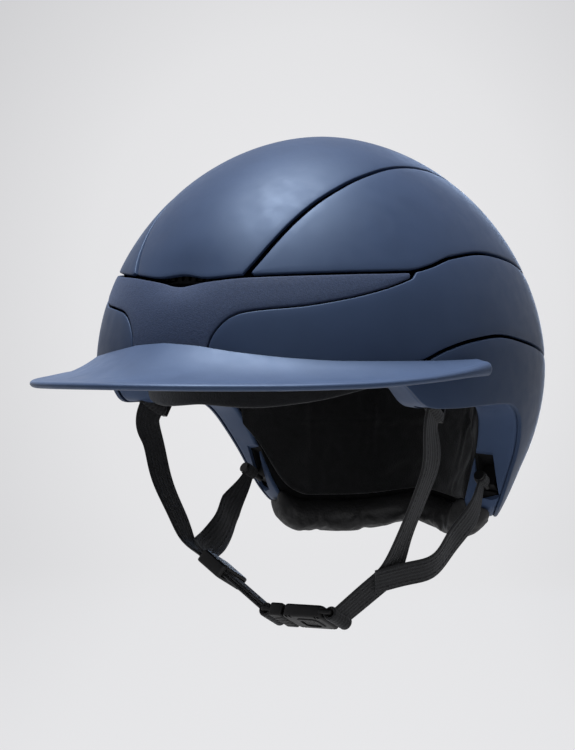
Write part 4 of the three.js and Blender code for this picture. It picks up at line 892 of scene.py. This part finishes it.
# ---- Hard fittings ----
def plate(name, length, width, corner, height, edge, place):
    """A rounded plate with rolled edges. place(x, y, z) puts its own axes in the helmet's."""
    def outline(inset):
        points = []
        for cx, cy, first in ((1, -1, -90), (1, 1, 0), (-1, 1, 90), (-1, -1, 180)):
            for turn in np.linspace(first, first + 90, 7) * DEG:
                r = max(corner - inset, 0.05)
                points.append((cx * (length / 2 - inset - r) + r * math.cos(turn),
                               cy * (width / 2 - inset - r) + r * math.sin(turn)))
        return points
    rings = []
    steps = [(edge * (1 - math.sin(t)), height / 2 - edge * (1 - math.cos(t)))
             for t in np.linspace(0, 90, 5) * DEG]
    for inset, z in steps + [(i, -z) for i, z in steps[::-1]]:
        rings.append([place(x, y, z) for x, y in outline(inset)])
    return loft(name, rings, sharp=35)


def placer(centre, x, y, z):
    """Puts a plate's length, width and height along three directions."""
    return lambda a, b, c: centre + x * a + y * b + z * c


def buckle_place(x, y, z):
    return placer(in_buckle(x, y, z), SLIDE, ACROSS, FACE_OUT)


def combine(obj, tools, operation):
    """Joins or cuts an object by others, which are used up."""
    for tool in tools:
        modifier = obj.modifiers.new("combine", "BOOLEAN")
        modifier.operation = operation
        modifier.solver = "EXACT"
        modifier.object = tool
        apply_modifiers(obj)
        bpy.data.objects.remove(tool)
    obj.data.shade_smooth()
    obj.data.set_sharp_from_angle(angle=32 * DEG)
    return obj


def bar_frame(start, bar_x):
    """Rails with a bar across their end for webbing."""
    direction = math.copysign(1, bar_x - start)
    inner, end = (bar_x + direction * side * BAR_LENGTH / 2 for side in (-1, 1))
    root = bar_x - direction * (BUCKLE_LOOP_OUTER + CLEARANCE)
    rails = plate("rails", abs(end - start), BUCKLE_WIDTH, 1.4, BAR_HEIGHT, 0.7,
                  buckle_place((start + end) / 2, 0, 0))
    gap = plate("gap", abs(inner - root), BELT_WIDTH + 1.7, 0.5, 8, 0.1,
                buckle_place((inner + root) / 2, 0, 0))
    return combine(rails, [gap], "DIFFERENCE")


HOUSING_WALL = 1.3
WINDOW_LENGTH, WINDOW_WIDTH, WINDOW_X = 10.0, 8.4, 1.0
CAVITY_HEIGHT = BUCKLE_HEIGHT - 2 * HOUSING_WALL


def buckle_housing():
    """Hollow half of the buckle, with a window for the button and grip grooves along its edges."""
    body = plate("clasp_housing", BUCKLE_LENGTH, BUCKLE_WIDTH, 3, BUCKLE_HEIGHT, 1.5, buckle_place(0, 0, 0))
    collar = plate("collar", WINDOW_LENGTH + 3.4, WINDOW_WIDTH + 3.4, 3, 1.2, 0.5,
                   buckle_place(WINDOW_X, 0, BUCKLE_HEIGHT / 2))
    combine(body, [bar_frame(HOUSING_END - 3, HOUSING_BAR_X), collar], "UNION")
    cavity = plate("cavity", BUCKLE_LENGTH, BUCKLE_WIDTH - 2 * HOUSING_WALL, 0.8, CAVITY_HEIGHT, 0.3,
                   buckle_place(-4, 0, 0))
    window = plate("window", WINDOW_LENGTH, WINDOW_WIDTH, 2, 6, 0.1, buckle_place(WINDOW_X, 0, 4.2))
    grooves = [plate("groove", 1.1, 3.2, 0.5, 1.6, 0.3,
                     buckle_place(x, side * (BUCKLE_WIDTH / 2 - 1.2), BUCKLE_HEIGHT / 2))
               for x in (-9.5, -7.3, 8.6, 10.4) for side in (-1, 1)]
    return combine(body, [cavity, window, *grooves], "DIFFERENCE")


def release_button():
    pad = plate("push_button", WINDOW_LENGTH - 0.8, WINDOW_WIDTH - 0.8, 1.4, 3.1, 0.6,
                buckle_place(WINDOW_X, 0, 1.95))
    shoe = plate("shoe", WINDOW_LENGTH + 2, WINDOW_WIDTH - 0.9, 0.5, 0.9, 0.15,
                 buckle_place(WINDOW_X, 0, 1.35))
    combine(pad, [shoe], "UNION")
    ribs = [plate("rib", 0.7, WINDOW_WIDTH - 3, 0.3, 0.9, 0.2, buckle_place(WINDOW_X + x, 0, 3.55))
            for x in (-2.4, -0.8, 0.8, 2.4)]
    return combine(pad, ribs, "DIFFERENCE")


def buckle_tongue():
    """Other half of the buckle: a forked blade in the housing, and a ribbed grip."""
    clear, blade_wall, reach = 1.0, 1.6, 14.0
    blade = plate("blade", reach + 2, BUCKLE_WIDTH - 2 * (HOUSING_WALL + clear), 1.2, blade_wall, 0.4,
                  buckle_place(GRIP_START + reach / 2 - 1, 0, -CAVITY_HEIGHT / 2 + clear + blade_wall / 2))
    fork = plate("fork", reach, WINDOW_WIDTH + 0.6, 0.8, 8, 0.1,
                 buckle_place(GRIP_START + reach / 2 + 2, 0, 0))
    combine(blade, [fork], "DIFFERENCE")
    grip_x = GRIP_START - GRIP_LENGTH / 2
    grip = plate("clasp_tongue", GRIP_LENGTH, BUCKLE_WIDTH, 1.4, BUCKLE_HEIGHT, 1.1,
                 buckle_place(grip_x, 0, 0))
    combine(grip, [blade, bar_frame(GRIP_START - GRIP_LENGTH + 1, TONGUE_BAR_X)], "UNION")
    ribs = [plate("rib", 8, 1.1, 0.4, 0.8, 0.2, buckle_place(grip_x, y, side * BUCKLE_HEIGHT / 2))
            for y in (-6, -3.6, -1.2, 1.2, 3.6, 6) for side in (-1, 1)]
    return combine(grip, ribs, "DIFFERENCE")


def strap_divider():
    """Slider round both layers of the right strap, with two grooves across its face."""
    passage = 2 * (LAYER + BELT_THICKNESS / 2) + 3 * CLEARANCE
    width = BELT_WIDTH + 6
    face = MEET_RIGHT.face

    def place(x, z):
        point, _ = MEET_RIGHT(DIVIDER_START + DIVIDER_LENGTH / 2 + x, 0, z)
        return placer(point, RIGHT_RUN, np.cross(face, RIGHT_RUN), face)

    body = plate("strap_slider", DIVIDER_LENGTH, width, 3, passage + 3, 1.1, place(0, 0))
    slot = plate("slot", DIVIDER_LENGTH + 4, BELT_WIDTH + 1.8, 0.6, passage, 0.2, place(0, 0))
    steps = [plate("step", 1.2, width - 5, 0.5, 1.2, 0.3, place(x, passage / 2 + 1.6)) for x in (-5.4, 5.4)]
    return combine(body, [slot, *steps], "DIFFERENCE")


# ---- Materials ----
class Nodes:
    """Builds one procedural material, whose patterns lie in the object's own coordinates."""

    def __init__(self, name, roughness, **constants):
        self.material = bpy.data.materials.new(name)
        self.material.use_nodes = True
        self.tree = self.material.node_tree
        self.shader = self.tree.nodes["Principled BSDF"]
        self.fill({key.replace("_", " "): value for key, value in constants.items()}, self.shader.inputs)
        self.shader.inputs["Roughness"].default_value = roughness
        self.place = self.add("ShaderNodeTexCoord").outputs["Object"]

    def fill(self, values, sockets):
        for key, value in values.items():
            if isinstance(value, bpy.types.NodeSocket):
                self.tree.links.new(value, sockets[key])
            else:
                sockets[key].default_value = value

    def add(self, kind, **inputs):
        node = self.tree.nodes.new(kind)
        self.fill(inputs, node.inputs)
        return node

    def math(self, operation, a, b=0.0):
        node = self.add("ShaderNodeMath")
        node.operation = operation
        self.fill({0: a, 1: b}, node.inputs)
        return node.outputs[0]

    def mix(self, share, first, second):
        node = self.add("ShaderNodeMixShader", Fac=share)
        self.fill({1: first, 2: second}, node.inputs)
        return node.outputs[0]

    def noise(self, scale, detail=3.0):
        return self.add("ShaderNodeTexNoise", Vector=self.place, Scale=scale, Detail=detail).outputs[0]

    def cells(self, scale):
        return self.add("ShaderNodeTexVoronoi", Vector=self.place, Scale=scale).outputs["Distance"]

    def bump(self, height, strength, distance, **under):
        node = self.add("ShaderNodeBump", Height=height, Strength=strength, Distance=distance, **under)
        return node.outputs[0]

    def ramp(self, value, stops):
        node = self.add("ShaderNodeValToRGB", Fac=value)
        ramp = node.color_ramp
        while len(ramp.elements) < len(stops):
            ramp.elements.new(0.5)
        for element, (at, colour) in zip(ramp.elements, stops):
            element.position = at
            element.color = (*colour, 1)
        return node.outputs[0]

    def colour(self, colour, spread, pattern):
        """A colour that a pattern makes darker and lighter by a spread."""
        stops = [(at, [c * (1 + side * spread) for c in colour]) for at, side in ((0.3, -1), (0.7, 1))]
        self.fill({"Base Color": self.ramp(pattern, stops)}, self.shader.inputs)

    def gloss(self, low, high, pattern):
        roughness = self.ramp(pattern, [(0.3, [low] * 3), (0.7, [high] * 3)])
        self.fill({"Roughness": roughness}, self.shader.inputs)

    def relief(self, *bump, **under):
        self.fill({"Normal": self.bump(*bump, **under)}, self.shader.inputs)


def moulded(name, colour, roughness, grain=2600, grain_depth=0.00004, tint=(1, 1, 1), **constants):
    """Satin moulded plastic: a fine grain, a slow drift of colour and gloss."""
    m = Nodes(name, roughness, Specular_Tint=(*tint, 1), **constants)
    m.colour(colour, 0.06, m.noise(45, 4))
    m.gloss(roughness - 0.04, roughness + 0.05, m.noise(120, 5))
    m.relief(m.noise(grain, 2), 0.25, grain_depth)
    return m.material


def suede(name, colour):
    """Fine grained soft covering of the front band."""
    m = Nodes(name, 0.72, Sheen_Weight=0.12, Sheen_Roughness=0.5, Sheen_Tint=(0.5, 0.58, 0.8, 1),
              Specular_IOR_Level=0.3)
    m.colour(colour, 0.16, m.noise(900, 5))
    m.gloss(0.62, 0.8, m.noise(700))
    m.relief(m.cells(1500), 0.5, 0.00014, Normal=m.bump(m.noise(2600, 4), 0.5, 0.0001))
    return m.material


def painted_shade_black(name, colour):
    """Raw dull black plastic deep in the grooves and the vent, made almost lightless as painted shade of the
    grooves.
    """
    m = Nodes(name, 1.0, Specular_IOR_Level=0.0)
    m.colour(colour, 0.3, m.noise(300, 4))
    m.relief(m.noise(2000, 2), 0.2, 0.00005)
    return m.material


def knit(name, colour):
    """Brushed knitted fabric of the pads."""
    m = Nodes(name, 0.95, Sheen_Weight=0.25, Sheen_Roughness=0.6, Specular_IOR_Level=0.25)
    m.colour(colour, 0.35, m.noise(260, 6))
    m.relief(m.cells(1300), 0.6, 0.0003, Normal=m.bump(m.noise(90), 0.35, 0.0012))
    return m.material


def hide(name, colour):
    """Soft synthetic leather."""
    m = Nodes(name, 0.55, Specular_IOR_Level=0.4)
    m.colour(colour, 0.25, m.noise(200, 5))
    m.gloss(0.5, 0.68, m.noise(300))
    m.relief(m.cells(900), 0.5, 0.0002, Normal=m.bump(m.noise(110, 4), 0.4, 0.001))
    return m.material


def woven(name, colour):
    """Flat woven webbing: a small herringbone that follows the belt."""
    m = Nodes(name, 0.8, Sheen_Weight=0.2, Sheen_Roughness=0.5, Specular_IOR_Level=0.35)
    mark = m.add("ShaderNodeAttribute")
    mark.attribute_name = "cloth"
    split = m.add("ShaderNodeSeparateXYZ", Vector=mark.outputs["Vector"])
    x, y = split.outputs["X"], split.outputs["Y"]
    rib_pitch, yarn_pitch = 0.0023, 0.0011
    column = m.math("FLOOR", m.math("DIVIDE", x, rib_pitch))
    lean = m.math("SUBTRACT", m.math("MULTIPLY", m.math("PINGPONG", column, 1.0), 2.0), 1.0)
    slanted = m.math("ADD", y, m.math("MULTIPLY", m.math("MULTIPLY", x, lean), 0.8))
    yarn = m.math("SINE", m.math("MULTIPLY", slanted, 2 * math.pi / yarn_pitch))
    rib = m.math("SINE", m.math("MULTIPLY", x, 2 * math.pi / rib_pitch))
    weave = m.math("ADD", m.math("MULTIPLY", yarn, 0.35), m.math("MULTIPLY", rib, 0.3))
    m.colour(colour, 0.45, m.math("ADD", m.math("MULTIPLY", weave, 0.4), m.noise(500, 4)))
    m.relief(weave, 0.6, 0.00022)
    return m.material


def cellular(name, colour):
    """Expanded foam under a thin skin."""
    m = Nodes(name, 0.9, Specular_IOR_Level=0.25)
    beads = m.cells(330)
    m.colour(colour, 0.3, beads)
    m.relief(beads, 0.4, 0.0005)
    return m.material


def plated(name, colour):
    """Bright metal with a fine grain."""
    m = Nodes(name, 0.35, Metallic=1.0)
    m.colour(colour, 0.1, m.noise(300, 4))
    m.relief(m.noise(1500), 0.2, 0.0001)
    return m.material


NAVY = (0.031, 0.048, 0.094)
SKY_TINT = (0.5, 0.69, 1.0)
looks = {
    "navy_paint": moulded("navy_shell", NAVY, 0.5, tint=SKY_TINT, Specular_IOR_Level=0.42),
    "navy_textured": suede("navy_suede", (0.029, 0.045, 0.092)),
    "navy_brim": moulded("navy_peak", (0.050, 0.075, 0.139), 0.48, tint=SKY_TINT, Specular_IOR_Level=0.45),
    # The flange's navy is set lighter than the shell's: painted light, the lit look of the same navy.
    "navy_trim": moulded("navy_flange_painted_light", (0.058, 0.086, 0.158), 0.5, tint=SKY_TINT, Specular_IOR_Level=0.35),
    # The inner shell and the grille are black plastic made almost lightless, as painted shade in the seams
    # and the vent.
    "black_shell": painted_shade_black("inner_shell_painted_shade", (0.0008, 0.0008, 0.001)),
    "black_foam": cellular("foam_black", (0.005, 0.005, 0.0055)),
    "black_fabric": knit("pad_knit", (0.0045, 0.0045, 0.005)),
    "black_leather": hide("bolster_hide", (0.006, 0.006, 0.0065)),
    "webbing": woven("belt_weave", (0.0105, 0.0105, 0.0115)),
    "black_plastic": moulded("fitting_black", (0.0042, 0.0042, 0.0045), 0.5, grain=1800, grain_depth=0.00005,
                             Specular_IOR_Level=0.28),
    "button_plastic": moulded("button_black", (0.008, 0.008, 0.0085), 0.42, grain=1800, grain_depth=0.00005,
                              Specular_IOR_Level=0.35),
    "steel": plated("rivet_plating", (0.5, 0.51, 0.54)),
}


def dress(obj, slot):
    obj.data.materials.clear()
    obj.data.materials.append(looks[slot])


def finish_piece(obj, node, body, slot):
    """Gives a piece its material and its place on a body, in place of a CAD node."""
    dress(obj, slot)
    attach(obj, body)
    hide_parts(node)
    return obj


# ---- Camera ----
CAMERA_TURN, CAMERA_DISTANCE, CAMERA_HEIGHT = 37.0, 2.0, -0.0502
CAMERA_DOWN, CAMERA_LEFT = 1.117, 0.529
view_dir = Vector((math.sin(CAMERA_TURN * DEG), -math.cos(CAMERA_TURN * DEG), 0))
right_dir = Vector((math.cos(CAMERA_TURN * DEG), math.sin(CAMERA_TURN * DEG), 0))


def around(towards, right, up):
    """A place from the middle: towards the camera, to its right, and up."""
    return view_dir * towards + right_dir * right + Vector((0, 0, up))


camera = new_object("camera", bpy.data.cameras.new("camera"))
camera.data.lens = 184.6
camera.data.sensor_width = 36
camera.location = around(CAMERA_DISTANCE, 0, CAMERA_HEIGHT)
camera.rotation_euler = ((90 - CAMERA_DOWN) * DEG, 0, (CAMERA_TURN + CAMERA_LEFT) * DEG)
bpy.context.scene.camera = camera

# ---- Pieces ----
SIDES = (("left", 1), ("right", -1))
finish_piece(panel("crown_shell", crown_surface, 110, 46, dent=True), "crown_panel", "shell", "navy_paint")
for side, mirror in SIDES:
    upper = panel(f"upper_shell_{side}", upper_surface(mirror), 96, 34)
    finish_piece(upper, f"upper_panel_{side}", "shell", "navy_paint")
    lower = panel(f"lower_side_{side}", lower_surface(mirror), 120, 20)
    finish_piece(lower, f"lower_panel_{side}", "shell", "navy_paint")
finish_piece(panel("suede_band", band_surface, 130, 16, dent=True), "front_band", "shell", "navy_textured")
finish_piece(lower_shell(), "lower_shell", "shell", "navy_paint")
finish_piece(brim(), "brim", "shell", "navy_brim")


# What is cut round each anchor: which pin, the shift along the hinge line and up from it, and the size
# along the hinge line, through the wall and up.
SLOT_WIDTH = 2 * (LOOP_INNER + BELT_THICKNESS) + 3.4
SLOTS = (("front", 0, 0, (BELT_WIDTH + 7, SLOT_WIDTH + 1.8, 44)), ("rear", 0, 4.5, (32, SLOT_WIDTH, 17)))
POCKETS = (("front", 0, 2.5, (BELT_WIDTH + 8, 8, 40)), ("rear", -3, 6.5, (40, 8, 13)))


def cut_at_anchors(obj, cuts):
    blocks = []
    for line in (LEFT, RIGHT):
        x, z = line["axis"], line["up"]
        for pin, along, up, (length, width, height) in cuts:
            place = placer(line[pin] + x * along + z * up, x, np.cross(z, x), z)
            blocks.append(plate("block", length, width, 0.8, height, 0.2, place))
    return combine(obj, blocks, "DIFFERENCE")


finish_piece(cut_at_anchors(rim_trim(), SLOTS), "rim_trim", "shell", "navy_trim")
finish_piece(cut_at_anchors(liner(), POCKETS), "eps_liner", "shell", "black_foam")

pads = {
    "brow_pad": liner_pad("brow_cushion", -PAD_JOIN_ANGLE, PAD_JOIN_ANGLE, level(PAD_TOP_HEIGHT),
                          brow_pad_bottom, 62, 15, seams=(-38, -13, 13, 38)),
    **{f"side_pad_{side}": liner_pad(f"temple_cushion_{side}", mirror * SIDE_PAD_START, mirror * SIDE_PAD_END,
                                     level(PAD_TOP_HEIGHT), level(SIDE_PAD_LOW), 26, 12,
                                     seams=(mirror * SIDE_PAD_SEAM,)) for side, mirror in SIDES},
    "rear_pad": liner_pad("nape_cushion", REAR_PAD_ANGLE, 360 - REAR_PAD_ANGLE, level(REAR_PAD_TOP_HEIGHT),
                          rear_pad_bottom, 76, 30, seams=(132, 155, 205, 228), levels=(0.52,)),
    "crown_pad": crown_pad(),
}
for node, pad in pads.items():
    finish_piece(pad, node, "shell", "black_fabric")
roll = finish_piece(nape_roll(), "nape_roll", "shell", "black_leather")

for place, parts in straps().items():
    end, side = place.split("_")
    finish_piece(belt_object(f"{end}_webbing_{side}", *parts), f"strap_{place}", f"{side}_harness", "webbing")
finish_piece(buckle_housing(), "buckle_housing", "left_harness", "black_plastic")
finish_piece(release_button(), "release_button", "button", "button_plastic")
finish_piece(buckle_tongue(), "buckle_tongue", "right_harness", "black_plastic")
finish_piece(strap_divider(), "strap_divider", "divider", "black_plastic")

kept_nodes = {"base_shell": "black_shell", "vent_grille": "black_shell"}
kept_nodes.update({n: "black_plastic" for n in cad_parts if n.startswith("anchor")})
kept_nodes.update({n: "steel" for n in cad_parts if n.startswith("rivet")})
for node, slot in kept_nodes.items():
    dress(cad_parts[node], slot)

# ---- Studio ----
FLOOR_Z = -0.34
LIT_PLACE = Vector((0, 0, -0.07))


def backdrop():
    """A floor that curves up into a wall all round, with a painted glow brightest behind the helmet, seen
    from inside only.
    """
    profile = [(2.2, 0), (2.45, 0.03), (2.7, 0.12), (2.9, 0.3), (3.05, 0.6), (3.1, 1.0), (3.1, 3.2)]
    turns = np.arange(96) * 2 * np.pi / 96
    points = [(r * math.cos(t), r * math.sin(t), z + FLOOR_Z) for r, z in profile for t in turns]
    faces = grid_faces(len(profile), len(turns), loop_columns=True) + [tuple(range(len(turns)))]
    obj = mesh_object("studio_floor", np.array(points) / MM, faces, 180)
    m = Nodes("studio_paper_painted_glow", 0.9, Specular_IOR_Level=0.0, Base_Color=(0.40, 0.40, 0.41, 1))
    split = m.add("ShaderNodeSeparateXYZ", Vector=m.place)
    sideways = m.math("ADD", m.math("MULTIPLY", split.outputs["X"], right_dir.x),
                      m.math("MULTIPLY", split.outputs["Y"], right_dir.y))
    upright = m.math("MULTIPLY", m.math("ADD", split.outputs["Z"], 0.05), 0.85)
    far = m.math("SQRT", m.math("ADD", m.math("MULTIPLY", sideways, sideways),
                                m.math("MULTIPLY", upright, upright)))
    # Painted glow: an emitted pool of light on the floor and wall, brightest behind the helmet and darker
    # towards the edges, seen by the camera and in reflections.
    painted_glow = m.ramp(far, [(0.0, (0.87, 0.87, 0.885)), (0.3, (0.80, 0.80, 0.815)), (0.7, (0.56, 0.56, 0.575))])
    path = m.add("ShaderNodeLightPath")
    seen = m.math("MINIMUM", m.math("ADD", path.outputs["Is Camera Ray"], path.outputs["Is Glossy Ray"]), 1.0)
    lit = m.mix(m.math("MULTIPLY", seen, 0.96), m.shader.outputs[0],
                m.add("ShaderNodeEmission", Color=painted_glow).outputs[0])
    one_way = m.mix(m.add("ShaderNodeNewGeometry").outputs["Backfacing"], lit,
                    m.add("ShaderNodeBsdfTransparent").outputs[0])
    m.fill({"Surface": one_way}, m.tree.nodes["Material Output"].inputs)
    obj.data.materials.append(m.material)
    if obj.data.polygons[-1].normal.z < 0:
        obj.data.flip_normals()


def softbox(name, place, width, height, power, colour=(1, 1, 1)):
    """A rectangular light that faces the helmet and isn't seen."""
    light = new_object(name, bpy.data.lights.new(name, "AREA"))
    light.data.shape = "RECTANGLE"
    light.data.size, light.data.size_y = width, height
    light.data.energy = power
    light.data.color = colour
    light.location = place
    light.visible_camera = False
    light.rotation_euler = (LIT_PLACE - place).to_track_quat("-Z", "Y").to_euler()


backdrop()
RIM_BLUE = (0.5, 0.68, 1.0)
softbox("key", around(0.02, -0.12, 1.25), 0.7, 0.65, 37, (0.93, 0.96, 1.0))
softbox("rim_left", around(-1.8, -0.5, 0.1), 0.2, 1.3, 1.1, RIM_BLUE)
softbox("rim_right", around(-1.8, 0.45, 0.1), 0.22, 1.3, 6, RIM_BLUE)
softbox("fill", around(1.7, 0.0, -0.15), 0.9, 0.5, 2.4)

world = bpy.data.worlds.new("studio")
bpy.context.scene.world = world
world.use_nodes = True
sky = world.node_tree.nodes["Background"].inputs
sky["Color"].default_value = (0.76, 0.83, 0.95, 1)
sky["Strength"].default_value = 0.11
bpy.context.scene.view_settings.view_transform = "Standard"
